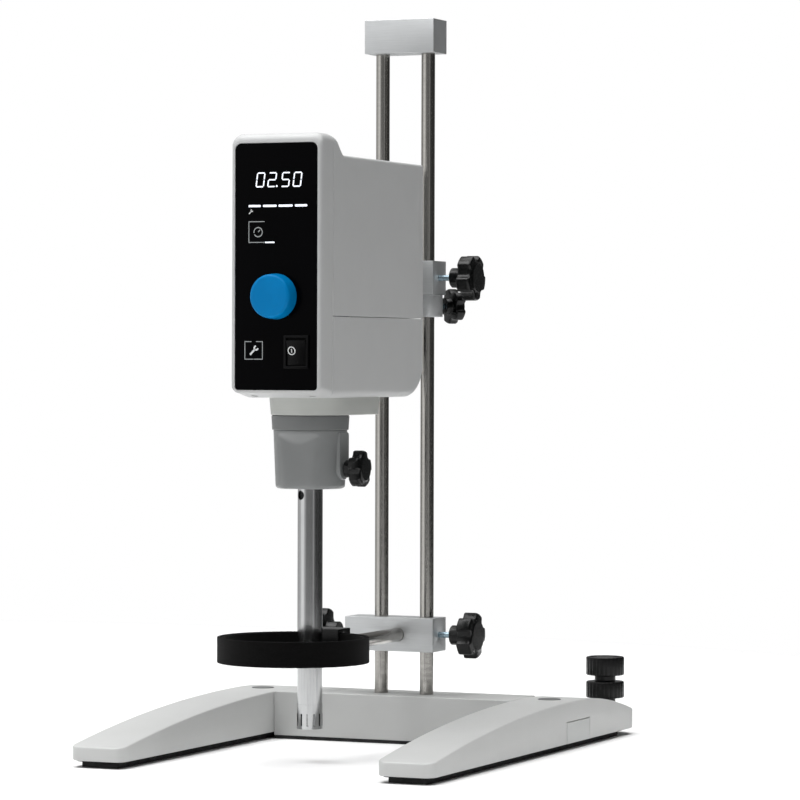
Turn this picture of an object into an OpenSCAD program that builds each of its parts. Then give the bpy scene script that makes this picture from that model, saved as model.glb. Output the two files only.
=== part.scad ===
// Rotor stator homogenizer on a stand with two rods and two legs, with a strap clamp for the vessel.
// Millimetres. +Z is up, the control panel faces -Y, and the origin is on the bench at the
// middle of the footprint.

/* [Legs and beam] */
// Width over both legs
stand_w = 380; // [350:1:430]
// Length of a leg, front to back
leg_len = 560; // [530:1:620]
// Width of a leg
leg_w = 58; // [52:1:64]
// Height of the legs at their crest, and of the beam
crest_h = 49; // [46:1:56]
// Height of a leg's top edge at its front end
nose_h = 20; // [17:1:26]
// Height of a leg's top edge at its rear end
tail_h = 21; // [18:1:26]
// Distance from the rods back to the rear end of the legs
rods_to_tail = 190; // [170:1:210]
// Radius of the legs' front corners, seen from above
nose_corner_r = 11; // [6:1:16]
// Wall of the hollow castings
cast_wall = 4; // [3:0.5:5]
// Height of the rubber strip under a leg
strip_h = 6.5; // [5:0.5:8]
// Distance of the rubber strip from the leg's side
strip_inset = 9; // [7:0.5:12]
// Depth of the cross beam, front to back
beam_d = 68; // [60:1:76]
// Thickness of the rubber sheet under the beam
sheet_t = 3.5; // [2.5:0.5:5]
// Thickness of the lip that closes the hollow castings from below
lip_t = 3; // [2:0.5:4]
// Diameter of the round plug on a leg's crest
plug_d = 23; // [18:1:28]
// Length of the screw access cover in a leg's side
cover_len = 64; // [54:1:70]
// Height of the screw access cover
cover_h = 22; // [18:1:24]

/* [Rods and blocks] */
// Diameter of the two stand rods
rod_d = 14; // [12:0.5:16]
// Distance between the rods' axes
rod_gap = 50.7; // [44:0.1:58]
// Height of the top face of the stand
stand_h = 741.5; // [700:0.5:900]
// Depth and height of the square bar that the blocks are cut from
block_s = 34.5; // [32:0.5:38]
// Width of the top block and of the head block
block_w = 77; // [76:1:86]
// Depth of the blind bores that hold the rods in the top block
rod_seat = 25; // [18:1:28]
// Height of the rods' lower ends above the bench
rod_foot_z = 14; // [12:1:20]

/* [Levelling foot] */
// Diameter of the levelling knob and of its lock nut
disc_d = 40; // [34:1:44]
// Thickness of the levelling knob's disc
knob_disc_t = 19.4; // [14:0.2:22]
// Thickness of the lock nut's disc
nut_disc_t = 17.3; // [13:0.1:20]
// Diameter of the necks below the two discs
neck_d = 22; // [18:1:26]
// Height of the neck below the levelling knob's disc
knob_neck_h = 6.1; // [4:0.1:9]
// Height of the neck below the lock nut's disc
nut_neck_h = 5; // [3:0.5:8]
// Diameter of the levelling screw
level_screw_d = 8; // [6:1:10]
// Diameter of the levelling screw's foot
level_foot_d = 26; // [20:1:30]
// Height that the levelling screw can be drawn up
level_travel = 5; // [3:0.5:6]

/* [Head] */
// Width of the head
head_w = 95.2; // [88:0.2:110]
// Distance from the panel's front to the head's rear face
head_d = 246.6; // [225:0.2:270]
// Height of the head's underside above the bench, at rest
head_z = 355.5; // [350:0.5:420]
// Height of the head's rear shells
shell_h = 233.5; // [215:0.5:260]
// Extra height of the bezel above the rear shells
bezel_rise = 19.5; // [12:0.5:24]
// Depth of the bezel, from the panel's front to the seam
bezel_d = 28.3; // [26:0.1:34]
// Height of the seam between the rear shells above the head's underside
seam_h = 78.5; // [74:0.5:84]
// Wall of the head's shells
shell_wall = 3; // [2.5:0.1:4]
// Distance from the panel's front back to the tool's axis
tool_setback = 79.3; // [76:0.1:86]
// Distance from the stand rods forward to the head's rear face
head_standoff = 62.7; // [50:0.1:80]
// Height of the head block's centre above the head's underside
block_lift = 121.1; // [110:0.1:130]
// Width of the control panel
panel_w = 87; // [80:0.5:90]
// Height of the control panel
panel_h = 236; // [215:0.5:238]
// Radius of the panel's corners
panel_r = 6; // [3:0.5:9]
// Thickness of the control panel
panel_t = 2.2; // [1.6:0.1:3]

/* [Controls] */
// Diameter of the speed knob at its base
speed_knob_d = 45; // [36:0.5:48]
// Depth of the speed knob
speed_knob_t = 15; // [12:0.5:18]
// Height of the speed knob's axis above the head's underside
speed_knob_z = 97; // [92:0.5:110]
// Width of the mains switch frame
switch_w = 26; // [20:0.5:28]
// Height of the mains switch frame
switch_h = 32; // [26:0.5:34]
// Height of the mains switch above the head's underside
switch_z = 44; // [38:0.5:48]
// Sideways offset of the mains switch
switch_x = 22; // [18:0.5:26]
// Angle that the rocker tips through
rocker_tip = 14; // [8:1:18]

/* [Coupling] */
// Radius of the neck under the head
neck_r = 40; // [38:0.5:44]
// Length of the neck behind the tool's axis, to the centre of its round end
neck_run = 68; // [40:1:90]
// Height of the neck
neck_h = 17; // [12:0.5:22]
// Radius of the coupling ring
ring_r = 38; // [37:0.5:39]
// Height of the coupling ring
ring_h = 14.5; // [10:0.5:18]
// Radius of the coupling cup at its top
cup_r = 36; // [34:0.5:37]
// Radius of the coupling cup at its bottom
cup_foot_r = 33.7; // [31:0.1:35]
// Height of the coupling cup
cup_h = 57; // [52:1:64]
// Distance of the cup's flat front from the tool's axis
cup_flat = 29; // [26:0.5:31]
// Height of the tool that the cup takes in
tool_seat = 30; // [26:1:34]

/* [Dispersing tool] */
// Diameter of the tool tube
tube_d = 24.5; // [20:0.5:28]
// Wall of the tool tube
tube_wall = 2; // [1.5:0.1:2.5]
// Height of the tool's lower end above the bench
tool_foot_z = 33; // [24:1:60]
// Diameter of the tool shaft
shaft_d = 8; // [6:0.5:9]
// Height of the stator head
stator_h = 24; // [20:1:30]
// Number of slots in the stator head
stator_slots = 12; // [8:1:14]
// Width of a stator slot
stator_slot_w = 2; // [1.4:0.1:2.6]
// Number of slots in the rotor
rotor_slots = 4; // [2:1:6]
// Diameter of the two vent holes in the tool tube
vent_d = 9; // [6:0.5:10]

/* [Vessel clamp] */
// Height of the clamp block's centre above the bench
clamp_z = 110.6; // [104:0.2:130]
// Reach of the clamp block to the right of the stand's middle
clamp_right = 39.5; // [38:0.5:44]
// Reach of the clamp block to the left of the stand's middle
clamp_left = 59; // [54:0.5:66]
// Diameter of the strap bar and of the head's support bar
bar_d = 14; // [12:0.5:16]
// Inner radius of the strap's loop
strap_r = 67.3; // [60:0.1:72]
// Thickness of the strap, doubled on itself
strap_t = 6.3; // [5:0.1:7]
// Width of the strap
strap_w = 25; // [20:1:30]
// Distance from the tool's axis forward to the middle of the strap's loop
strap_offset = 38; // [30:0.5:44]
// Height of the strap's middle above the strap bar
strap_lift = 2; // [0:0.5:4]

/* [Clamping knobs] */
// Diameter of the large star knobs
knob_d = 47; // [42:0.5:50]
// Thickness of the large star knobs' heads
knob_t = 15; // [12:0.5:18]
// Diameter of the small star knobs
small_knob_d = 36; // [30:0.5:38]
// Thickness of the small star knobs' heads
small_knob_t = 11; // [9:0.5:13]
// Number of lobes of a star knob
knob_lobes = 5; // [4:1:7]
// Diameter of the clamping studs
stud_d = 6; // [5:0.5:8]
// Length of stud that shows between a block and a large knob
stud_gap = 13.9; // [6:0.1:18]
// Direction of the stop collar's knob, from +X towards +Y
collar_turn = 55; // [45:1:65]
// Diameter of the stop collar
collar_d = 31; // [28:0.5:34]
// Height of the stop collar
collar_h = 22.6; // [20:0.1:24]

/* [Hidden] */
$fn = 48;

// Fits
run_fit = 0.05;         // radial clearance of a bar, rod or stud in its bore
shaft_fit = 0.03;       // radial clearance of the shafts in their bearings and bushes
part_gap = 0.3;         // clearance round inserts, covers and soft parts
rest_gap = 0.2;         // clearance of pieces that rest on each other and slide apart
cut = 1;                // overshoot of a cutting shape past the face that it cuts

// Stand
leg_x = stand_w / 2 - leg_w / 2;
leg_inner = stand_w / 2 - leg_w;
rod_y = leg_len / 2 - rods_to_tail;
rod_x = rod_gap / 2;
rod_r = rod_d / 2;
nose_y = -leg_len / 2;
tail_y = leg_len / 2;
tail_centre_y = tail_y - leg_w / 2;
profile_steps = 28;
beam_bottom = sheet_t;
beam_sheet_edge = 1;
rod_boss_d = rod_d + 14;
rod_thread = 20;
rod_screw_d = 6;
joint_screw_d = 6;
joint_screw_y = beam_d / 4;
joint_screw_z = strip_h + cover_h * 0.6;
joint_screw_len = 26;
screw_head_r = 5;
screw_head_h = 5;
plug_t = 2.4;
plug_stem_h = 8;
plug_rim = 2.5;
plug_proud = 0.5;
cover_shift = 7;
cover_y = rod_y + cover_shift;
cover_t = cast_wall;
top_block_z = stand_h - block_s;
block_r = block_s / 2;
set_screw_d = 5;

// Levelling foot
level_y = tail_centre_y;
level_boss_d = neck_d + 6;
level_boss_top = tail_h + 12;
level_foot_t = 5;
level_foot_step = 1.5;
level_pocket_top = level_foot_t + level_travel + 2;
level_cap = 4;
nut_z = level_boss_top;
nut_top = nut_z + nut_neck_h + nut_disc_t;
level_knob_z = nut_top + part_gap;
knurls = 24;
knurl_r = 1.6;

// Head
head_front = rod_y - head_standoff - head_d;
head_rear = rod_y - head_standoff;
head_seam = head_front + bezel_d;
head_top = head_z + shell_h;
panel_foot = 7.5;
panel_brow = 9.5;
panel_z = head_z + panel_foot;
bezel_top = max(head_top + bezel_rise, panel_z + panel_h + panel_brow);
seam_z = head_z + seam_h;
tool_y = head_front + tool_setback;
corner_r = 9;
rear_corner_r = 3;
crown_r = 10;
rear_round = 30;
slope_run = 28;
seam_drop = 5;
seam_top = bezel_top - seam_drop;
seam_rise = seam_top - head_top;
chin_z = head_z + 6;
block_z = head_z + block_lift;
panel_recess = 0.5;
window_edge = 6;
board_y = head_front + 14;
board_t = 1.6;
board_post_d = 7;
board_post_x = head_w / 2 - 14;
board_post_z = [seam_z + 12, head_top - 18];
screw_d = 3;
bar_r = bar_d / 2;
bar_flange_r = bar_r + 13;
bar_flange_t = 6;
bar_bolt_r = 14;
bar_end = 3;
bezel_screw_x = head_w * 0.32;
bezel_screw_y = head_front + bezel_d * 0.64;
bezel_recess = 3;
board_inset = 8;
power_board_gap = 22;
power_board_y = head_rear - power_board_gap;
digits_w = panel_w * 0.7;
digits_h = 22;
digits_t = 8;
digits_drop = 35.5;
digits_z = panel_z + panel_h - digits_drop;
lamps_h = 5;
lamps_t = 5;
lamps_drop = 24.5;
lamps_z = digits_z - lamps_drop;
parts_x = 11;
parts_z = block_z + (head_top - block_z) * 0.48;
sink_w = 38;
sink_h = 28;
sink_t = 18;
capacitor_r = 11;
capacitor_l = 28;
choke_r = 12;
choke_t = 14;
choke_wire = 7;
inlet_w = 28;
inlet_h = 22;
inlet_drop = 23.5;
inlet_z = seam_z - inlet_drop;
inlet_deep = 22;
inlet_lip = 3;
inlet_wall = 2.5;
inlet_rim = 4;
pin_gap = 7;
pin_recess = 5;

// Controls
spindle_d = 6;
encoder_s = 14;
knob_stand = 0.8;
switch_wall = 1.6;
switch_proud = 2;
switch_liner = 1;
rocker_gap = 0.4;
pivot_y = head_front + 6;
pivot_r = 1.5;
pivot_end = 0.1;

// Motor, stacked up from the shell's floor
motor_base_z = head_z + shell_wall;
motor_base_t = 8;
motor_base_w = 60;
motor_r = 38;
motor_post = 31;
motor_post_r = 4.6;
fan_z = motor_base_z + motor_base_t + 5;
fan_h = 12;
fan_r = motor_post - motor_post_r - 1.4;
core_z = fan_z + fan_h + 10;
core_h = 50;
core_flat = motor_post + motor_post_r;
armature_r = 19;
air_gap = 0.5;
winding_h = 8;
coil_x = 25;
coil_t = 10;
coil_edge = 32;
pole_w = 18;
coil_head = 6;
commutator_z = core_z + core_h + winding_h + 2;
commutator_h = 16;
commutator_r = 12;
bridge_z = commutator_z + commutator_h + 6;
bridge_t = 8;
bridge_w = 48;
motor_shaft_r = 4;
lower_bearing_r = 11;
upper_bearing_r = 9.5;
bearing_h = 7;
brush_tube_r = 3.6;
brush_r = 2.5;
brush_x = 19;
brush_box = 12;
blades = 10;

// Coupling and tool
neck_z = head_z - neck_h;
ring_z = neck_z - ring_h;
cup_z = ring_z - cup_h;
seat_top = cup_z + tool_seat;
socket_r = tube_d / 2 + 6;
cup_knob_z = cup_z + tool_seat * 0.65;
cup_boss_w = 22;
cup_boss_x = cup_r + 0.6;
cup_boss_top = ring_z - 2;
tube_r = tube_d / 2;
tube_bore = tube_r - tube_wall;
shaft_r = shaft_d / 2;
driver_r = 8;
driver_z = seat_top + 2;
driver_h = 18;
hex_r = 4;
hex_fit = 0.15;
hex_h = 12;
stator_bore = tube_bore - 0.6;
stator_spigot = 9;
rotor_gap = 0.4;
rotor_h = 16;
rotor_z = tool_foot_z + 1.5;
bush_h = 9;
vent_z = cup_z - 6.5;
vent_turn = 26;

// Vessel clamp
strap_y = tool_y - strap_offset;
strap_z = clamp_z + strap_lift;
strap_out = strap_r + strap_t;
cradle_w = 40;
cradle_lip = 2.7;
cradle_back = 16;
cradle_h = strap_w + 7;
bar_grip = 10;
bar_tail = 6;

// Clamping knobs
stud_r = stud_d / 2;
hub_d = knob_d * 0.43;
hub_h = knob_t * 0.87;
small_hub_d = small_knob_d * 0.47;
cup_hub_h = 9;
collar_hub_h = 7;
knob_gap = 1.5;
knob_edge = 2;
knob_crown_h = 1.5;
stud_grip = 14;
small_stud_grip = 10;
collar_z = block_z - block_r - rest_gap - collar_h;
collar_knob_z = collar_z + collar_h / 2;

// ---- Shapes that several pieces share ----

module along_x(x, y, z) { translate([x, y, z]) rotate([0, 90, 0]) children(); }

module along_y(x, y, z) { translate([x, y, z]) rotate([-90, 0, 0]) children(); }

// Box given by its low corner and its high corner
module block_between(low, high) { translate(low) cube(high - low); }

// Tube or disc with a bore
module ring(outer, inner, h) {
    difference() {
        cylinder(r = outer, h = h);
        translate([0, 0, -cut]) cylinder(r = inner, h = h + 2 * cut);
    }
}

// Rectangle with round corners, centred
module round_rect(w, h, r) {
    square([w - 2 * r, h], center = true);
    square([w, h - 2 * r], center = true);
    for (i = [-1, 1], j = [-1, 1]) translate([i * (w / 2 - r), j * (h / 2 - r)]) circle(r);
}

// Pan head screw pointing down, with the underside of its head at the origin
module screw(d, length, head_r, head_h) {
    translate([0, 0, -length]) cylinder(d = d, h = length);
    cylinder(r = head_r, h = head_h);
}

// Star knob that points along +Z with its hub's end at the origin
module star_knob(d, t, hub, hub_len, grip) {
    notch_r = d * 0.2;
    notch_at = d * 0.56;
    crown = d * 0.32;
    difference() {
        union() {
            cylinder(d = hub, h = hub_len + cut);
            translate([0, 0, hub_len]) difference() {
                union() {
                    cylinder(r1 = d / 2 - knob_edge, r2 = d / 2, h = knob_edge);
                    translate([0, 0, knob_edge]) cylinder(d = d, h = t - 2 * knob_edge);
                    translate([0, 0, t - knob_edge])
                        cylinder(r1 = d / 2, r2 = d / 2 - knob_edge, h = knob_edge);
                }
                for (i = [0 : knob_lobes - 1]) rotate((i + 0.5) * 360 / knob_lobes + 90)
                    translate([notch_at, 0, -cut]) cylinder(r = notch_r, h = t + 2 * cut);
            }
            translate([0, 0, hub_len + t - cut])
                cylinder(r1 = crown, r2 = crown - 2 * knob_crown_h, h = cut + knob_crown_h);
        }
        translate([0, 0, -cut]) cylinder(r = stud_r + run_fit, h = grip + 2 * cut);
    }
}

// Disc with a grooved rim
module knurled_disc(h) {
    difference() {
        cylinder(d = disc_d, h = h);
        for (i = [0 : knurls - 1]) rotate(i * 360 / knurls)
            translate([disc_d / 2 + knurl_r / 2, 0, -cut])
                cylinder(r = knurl_r, h = h + 2 * cut, $fn = 16);
    }
}

// ---- Legs and beam ----

// Height of a leg's top at a distance s behind the rods: one parabola to the front, one to the rear
function top_at(s) = s < 0
    ? crest_h - (crest_h - nose_h) * pow(s / (rod_y - nose_y), 2)
    : crest_h - (crest_h - tail_h) * pow(s / rods_to_tail, 2);

// Outline of a leg from above, drawn in by an inset on every side
module leg_plan(inset) {
    half = leg_w / 2 - inset;
    corner = max(nose_corner_r - inset, 1);
    translate([leg_x, tail_centre_y]) circle(half);
    translate([leg_x - half, nose_y + inset + corner])
        square([2 * half, tail_centre_y - nose_y - inset - corner]);
    translate([leg_x - half + corner, nose_y + inset]) square([2 * (half - corner), corner + cut]);
    for (i = [-1, 1]) translate([leg_x + i * (half - corner), nose_y + inset + corner]) circle(corner);
}

// Side view of a leg under its curved top, drawn down by a drop
module leg_side(drop, bottom) {
    step = leg_len / profile_steps;
    polygon(concat(
        [[tail_y + cut, bottom], [nose_y - cut, bottom], [nose_y - cut, nose_h - drop]],
        [for (i = [0 : profile_steps]) [nose_y + i * step, top_at(nose_y + i * step - rod_y) - drop]],
        [[tail_y + cut, tail_h - drop]]));
}

// Side view turned so that it stands across the leg
module across_leg(inset) {
    translate([leg_inner + inset, 0, 0]) rotate([90, 0, 90]) linear_extrude(leg_w - 2 * inset) children();
}

module leg_body(inset, bottom) {
    intersection() {
        linear_extrude(crest_h + cut) leg_plan(inset);
        across_leg(inset) leg_side(inset, bottom);
    }
}

// One leg, on the right; the hollow is open below
module leg(levelling) {
    difference() {
        union() {
            difference() {
                leg_body(0, strip_h);
                difference() {
                    leg_body(cast_wall, strip_h - cut);
                    translate([leg_x, level_y, 0]) cylinder(d = level_boss_d, h = crest_h);
                }
            }
            if (levelling) translate([leg_x, level_y, level_pocket_top])
                cylinder(d = level_boss_d, h = level_boss_top - level_pocket_top);
        }
        // Room for the levelling foot, and the screw's threaded hole
        if (levelling) {
            translate([leg_x, level_y, 0]) cylinder(d = level_foot_d + 2, h = level_pocket_top);
            translate([leg_x, level_y, 0]) cylinder(d = level_screw_d + 2 * run_fit, h = crest_h);
        }
        // Plug hole
        translate([leg_x, rod_y, crest_h - plug_t]) cylinder(d = plug_d, h = plug_t + cut);
        translate([leg_x, rod_y, crest_h - plug_t - cast_wall])
            cylinder(d = plug_d - 2 * plug_rim, h = cast_wall + plug_t);
        // Access opening in the outer side
        block_between([stand_w / 2 - cast_wall - cut, cover_y - cover_len / 2, strip_h - cut],
            [stand_w / 2 + cut, cover_y + cover_len / 2, strip_h + cover_h]);
        // Holes for the joint screws
        for (i = [-1, 1]) along_x(leg_inner - cut, rod_y + i * joint_screw_y, joint_screw_z)
            cylinder(d = joint_screw_d + 2 * run_fit, h = cast_wall + 2 * cut);
    }
}

// Rubber strip with a lip that closes the leg's hollow
module leg_strip(levelling) {
    difference() {
        union() {
            linear_extrude(strip_h) leg_plan(strip_inset);
            translate([0, 0, strip_h - cut]) intersection() {
                linear_extrude(lip_t + cut) leg_plan(cast_wall + part_gap);
                across_leg(cast_wall + part_gap) leg_side(cast_wall + part_gap + strip_h, 0);
            }
        }
        // The lip stays clear of the access cover and of the levelling boss
        block_between([stand_w / 2 - cast_wall - cover_t, cover_y - cover_len / 2 - 2, strip_h],
            [stand_w / 2, cover_y + cover_len / 2 + 2, strip_h + lip_t + cut]);
        translate([leg_x, level_y, strip_h]) cylinder(d = level_boss_d + 1, h = lip_t + cut);
        if (levelling) translate([leg_x - leg_w, level_y - level_boss_d / 2 - 2, -cut])
            cube([2 * leg_w, leg_w * 2, strip_h + lip_t + 2 * cut]);
    }
}

module left_leg() { color("gainsboro") mirror([1, 0, 0]) leg(false); }

module right_leg() { color("gainsboro") leg(true); }

module left_leg_strip() { color("dimgray") mirror([1, 0, 0]) leg_strip(false); }

module right_leg_strip() { color("dimgray") leg_strip(true); }

module cross_beam() {
    front = rod_y - beam_d / 2;
    back = rod_y + beam_d / 2;
    color("gainsboro") difference() {
        union() {
            difference() {
                block_between([-leg_inner, front, beam_bottom], [leg_inner, back, crest_h]);
                block_between([-leg_inner + cast_wall, front + cast_wall, beam_bottom - cut],
                    [leg_inner - cast_wall, back - cast_wall, crest_h - cast_wall]);
            }
            for (i = [-1, 1]) {
                translate([i * rod_x, rod_y, beam_bottom + lip_t + 1])
                    cylinder(d = rod_boss_d, h = crest_h - beam_bottom - lip_t - 2);
                for (j = [-1, 1]) along_x(i * (leg_inner - joint_screw_len / 2 - 1) - joint_screw_len / 2 - 1,
                        rod_y + j * joint_screw_y, joint_screw_z)
                    cylinder(d = 2 * joint_screw_d + 2, h = joint_screw_len + 2);
            }
        }
        for (i = [-1, 1]) {
            translate([i * rod_x, rod_y, rod_foot_z]) cylinder(r = rod_r + run_fit, h = crest_h);
            translate([i * rod_x, rod_y, 0]) cylinder(d = rod_screw_d + 2 * run_fit, h = rod_foot_z + cut);
            translate([i * rod_x, rod_y, 0]) cylinder(r = screw_head_r + run_fit, h = rod_foot_z - 2);
            for (j = [-1, 1]) along_x(i * (leg_inner - joint_screw_len / 2) - joint_screw_len / 2 - cut,
                    rod_y + j * joint_screw_y, joint_screw_z)
                cylinder(d = joint_screw_d + 2 * run_fit, h = joint_screw_len + 2 * cut);
        }
    }
}

module beam_sheet() {
    edge = beam_sheet_edge;
    inner = cast_wall + part_gap;
    color("dimgray") difference() {
        union() {
            block_between([-leg_inner + part_gap, rod_y - beam_d / 2 + edge, 0],
                [leg_inner - part_gap, rod_y + beam_d / 2 - edge, beam_bottom]);
            block_between([-leg_inner + inner, rod_y - beam_d / 2 + inner, beam_bottom - cut],
                [leg_inner - inner, rod_y + beam_d / 2 - inner, beam_bottom + lip_t]);
        }
        for (i = [-1, 1]) translate([i * rod_x, rod_y, beam_bottom])
            cylinder(r = screw_head_r + 1, h = lip_t + cut);
    }
}

// Screws up into the rods, screws through the legs into the beam, and set screws of the top block
module stand_screws() {
    color("silver") for (i = [-1, 1]) {
        translate([i * rod_x, rod_y, rod_foot_z - 2]) mirror([0, 0, 1])
            screw(rod_screw_d, rod_thread - 4, screw_head_r, screw_head_h);
        for (j = [-1, 1]) translate([i * (leg_inner + cast_wall), rod_y + j * joint_screw_y, joint_screw_z])
            rotate([0, i * 90, 0])
                screw(joint_screw_d, joint_screw_len + cast_wall - 2, screw_head_r, screw_head_h);
        along_y(i * rod_x, rod_y + rod_r + run_fit, top_block_z + rod_seat * 0.6)
            cylinder(d = set_screw_d, h = block_r - rod_r - 2);
    }
}

module leg_plugs() {
    color("whitesmoke") for (i = [-1, 1]) translate([i * leg_x, rod_y, crest_h - plug_t + run_fit]) {
        cylinder(d = plug_d - part_gap, h = plug_t + plug_proud);
        translate([0, 0, -plug_stem_h]) 
            cylinder(d = plug_d - 2 * plug_rim - part_gap, h = plug_stem_h + cut);
    }
}

module access_covers() {
    color("whitesmoke") for (i = [-1, 1])
        translate([i * (stand_w / 2 - cover_t / 2), cover_y, strip_h + cover_h / 2])
            cube([cover_t, cover_len - 2 * part_gap, cover_h - 2 * part_gap], center = true);
}

// ---- Rods and top block ----

module rod(side) {
    top = top_block_z + rod_seat;
    difference() {
        translate([side * rod_x, rod_y, rod_foot_z]) cylinder(r = rod_r, h = top - rod_foot_z - run_fit);
        translate([side * rod_x, rod_y, rod_foot_z - cut]) 
            cylinder(d = rod_screw_d + 2 * run_fit, h = rod_thread);
    }
}

module left_rod() { color("silver") rod(-1); }

module right_rod() { color("silver") rod(1); }

module top_block() {
    color("lightgray") difference() {
        block_between([-block_w / 2, rod_y - block_r, top_block_z], [block_w / 2, rod_y + block_r, stand_h]);
        for (i = [-1, 1]) {
            translate([i * rod_x, rod_y, top_block_z - cut])
                cylinder(r = rod_r + run_fit, h = rod_seat + cut);
            along_y(i * rod_x, rod_y, top_block_z + rod_seat * 0.6)
                cylinder(d = set_screw_d + 2 * run_fit, h = block_s);
        }
    }
}

// ---- Levelling foot ----

module levelling_screw() {
    top = level_knob_z + knob_neck_h + knob_disc_t - level_cap;
    color("silver") translate([leg_x, level_y, 0]) {
        cylinder(d = level_foot_d, h = level_foot_t - level_foot_step);
        cylinder(d = level_foot_d - 8, h = level_foot_t);
        cylinder(d = level_screw_d, h = top);
    }
}

module levelling_knob() {
    color("#1c1c1c") translate([leg_x, level_y, level_knob_z]) difference() {
        union() {
            cylinder(d = neck_d, h = knob_neck_h + cut);
            translate([0, 0, knob_neck_h]) knurled_disc(knob_disc_t);
        }
        translate([0, 0, -cut])
            cylinder(d = level_screw_d + 2 * run_fit, h = knob_neck_h + knob_disc_t - level_cap + 2 * cut);
    }
}

module lock_nut() {
    color("#1c1c1c") translate([leg_x, level_y, nut_z]) difference() {
        union() {
            cylinder(d = neck_d, h = nut_neck_h + cut);
            translate([0, 0, nut_neck_h]) knurled_disc(nut_disc_t);
        }
        translate([0, 0, -cut])
            cylinder(d = level_screw_d + 2 * run_fit, h = nut_neck_h + nut_disc_t + 3 * cut);
    }
}

// ---- Head ----

module head_block() {
    color("lightgray") difference() {
        block_between([-block_w / 2, rod_y - block_r, block_z - block_r],
            [block_w / 2, rod_y + block_r, block_z + block_r]);
        for (i = [-1, 1]) translate([i * rod_x, rod_y, block_z - block_s])
            cylinder(r = rod_r + run_fit, h = 2 * block_s);
        along_y(0, rod_y - block_s, block_z) cylinder(r = bar_r + run_fit, h = 2 * block_s);
        along_x(rod_x, rod_y, block_z) cylinder(r = stud_r + run_fit, h = block_w);
    }
}

// Bar that carries the head, with a flange behind the rear wall
module support_bar() {
    flange_y = head_rear - shell_wall - bar_flange_t;
    color("silver") difference() {
        union() {
            along_y(0, flange_y, block_z) cylinder(r = bar_flange_r, h = bar_flange_t);
            along_y(0, flange_y, block_z) 
                cylinder(r = bar_r, h = rod_y + block_r + bar_end - flange_y);
        }
        for (a = [45 : 90 : 315]) along_y(bar_bolt_r * cos(a), flange_y - cut, block_z + bar_bolt_r * sin(a))
            cylinder(d = screw_d + 2 * run_fit, h = bar_flange_t + 2 * cut);
    }
}

// Front outline of the head, centred on its width, standing up from a height
module head_outline(bottom, top, inset) {
    translate([0, (bottom + top) / 2])
        round_rect(head_w - 2 * inset, top - bottom - 2 * inset, corner_r - inset);
}

// Outline run from front to back
module run_back(from, to) { translate([0, to, 0]) rotate([90, 0, 0]) linear_extrude(to - from) children(); }

// Side view laid across the whole width
module across_head(inset) {
    translate([-head_w / 2 + inset, 0, 0]) rotate([90, 0, 90]) linear_extrude(head_w - 2 * inset) children();
}

// Points of an arc about a centre, from one angle to another
function arc(c, r, from, to, steps) =
    [for (i = [0 : steps]) let (a = from + (to - from) * i / steps) c + r * [cos(a), sin(a)]];

// Side view of the bezel: a slanted underside and a rounded crown
module bezel_side(inset) {
    f = head_front + inset;
    t = bezel_top - inset;
    r = crown_r - inset;
    polygon(concat(
        [[head_seam + cut, head_z + inset], [f + 2, chin_z - 2 + inset], [f, chin_z + inset]],
        arc([f + r, t - r], r, 180, 90, 8),
        [[head_seam - 8, t], [head_seam, seam_top - inset], [head_seam + cut, seam_top - inset]]));
}

// Side view of the rear shells: an S-shaped fall behind the seam and a round lower rear corner
module shell_side(inset) {
    b = head_rear - inset;
    t = head_top - inset;
    polygon(concat(
        [[head_seam - cut, head_z + inset]],
        arc([b - rear_round + inset, head_z + rear_round], rear_round - inset, -90, 0, 10),
        arc([b - 2, t - 2], 2, 0, 90, 4),
        [for (i = [1 : -0.1 : 0]) [head_seam + slope_run * i, t + seam_rise * (1 + cos(180 * i)) / 2]],
        [[head_seam - cut, seam_top - inset]]));
}

module bezel_solid(inset) {
    intersection() {
        run_back(head_front - cut, head_seam) head_outline(head_z, bezel_top, inset);
        across_head(inset) bezel_side(inset);
    }
}

module front_bezel() {
    panel_mid = panel_z + panel_h / 2;
    color("lightgray") difference() {
        union() {
            difference() {
                bezel_solid(0);
                translate([0, shell_wall, 0]) run_back(head_front, head_seam + cut)
                    head_outline(chin_z, seam_top - 2, shell_wall);
                // Seat of the panel and the window behind it
                run_back(head_front - cut, head_front + panel_t + panel_recess) translate([0, panel_mid])
                    round_rect(panel_w, panel_h, panel_r);
                run_back(head_front, head_front + shell_wall + cut) translate([0, panel_mid])
                    round_rect(panel_w - 2 * window_edge, panel_h - 2 * window_edge, panel_r);
            }
            // Posts for the display board
            for (i = [-1, 1], z = [panel_z + 12, panel_z + panel_h - 12])
                along_y(i * (panel_w / 2 - 4), head_front + shell_wall, z)
                    cylinder(d = board_post_d, h = board_y - head_front - shell_wall);
        }
        // Recesses for the two screws in the underside
        for (i = [-1, 1]) translate([i * bezel_screw_x, bezel_screw_y, head_z - cut]) {
            cylinder(d = 7, h = bezel_recess + cut);
            cylinder(d = screw_d + 2 * run_fit, h = 14);
        }
    }
}

module front_panel() {
    mid = panel_z + panel_h / 2;
    back = head_front + panel_recess + panel_t;
    hole_w = switch_w - 2 * switch_wall;
    hole_h = switch_h - 2 * switch_wall;
    color("#101010") difference() {
        run_back(head_front + panel_recess, back) translate([0, mid])
            round_rect(panel_w - 2 * rest_gap, panel_h - 2 * rest_gap, panel_r);
        along_y(0, head_front - cut, head_z + speed_knob_z)
            cylinder(d = spindle_d + 2, h = 4 * cut + panel_t);
        block_between([switch_x - hole_w / 2, head_front - cut, head_z + switch_z - hole_h / 2],
            [switch_x + hole_w / 2, back + cut, head_z + switch_z + hole_h / 2]);
    }
}

// Rear shells as one solid from a front face back, drawn in by an inset
module shell_solid(inset, front) {
    intersection() {
        run_back(front, head_rear + cut) head_outline(head_z, seam_top, inset);
        across_head(inset) shell_side(inset);
    }
}

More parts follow.
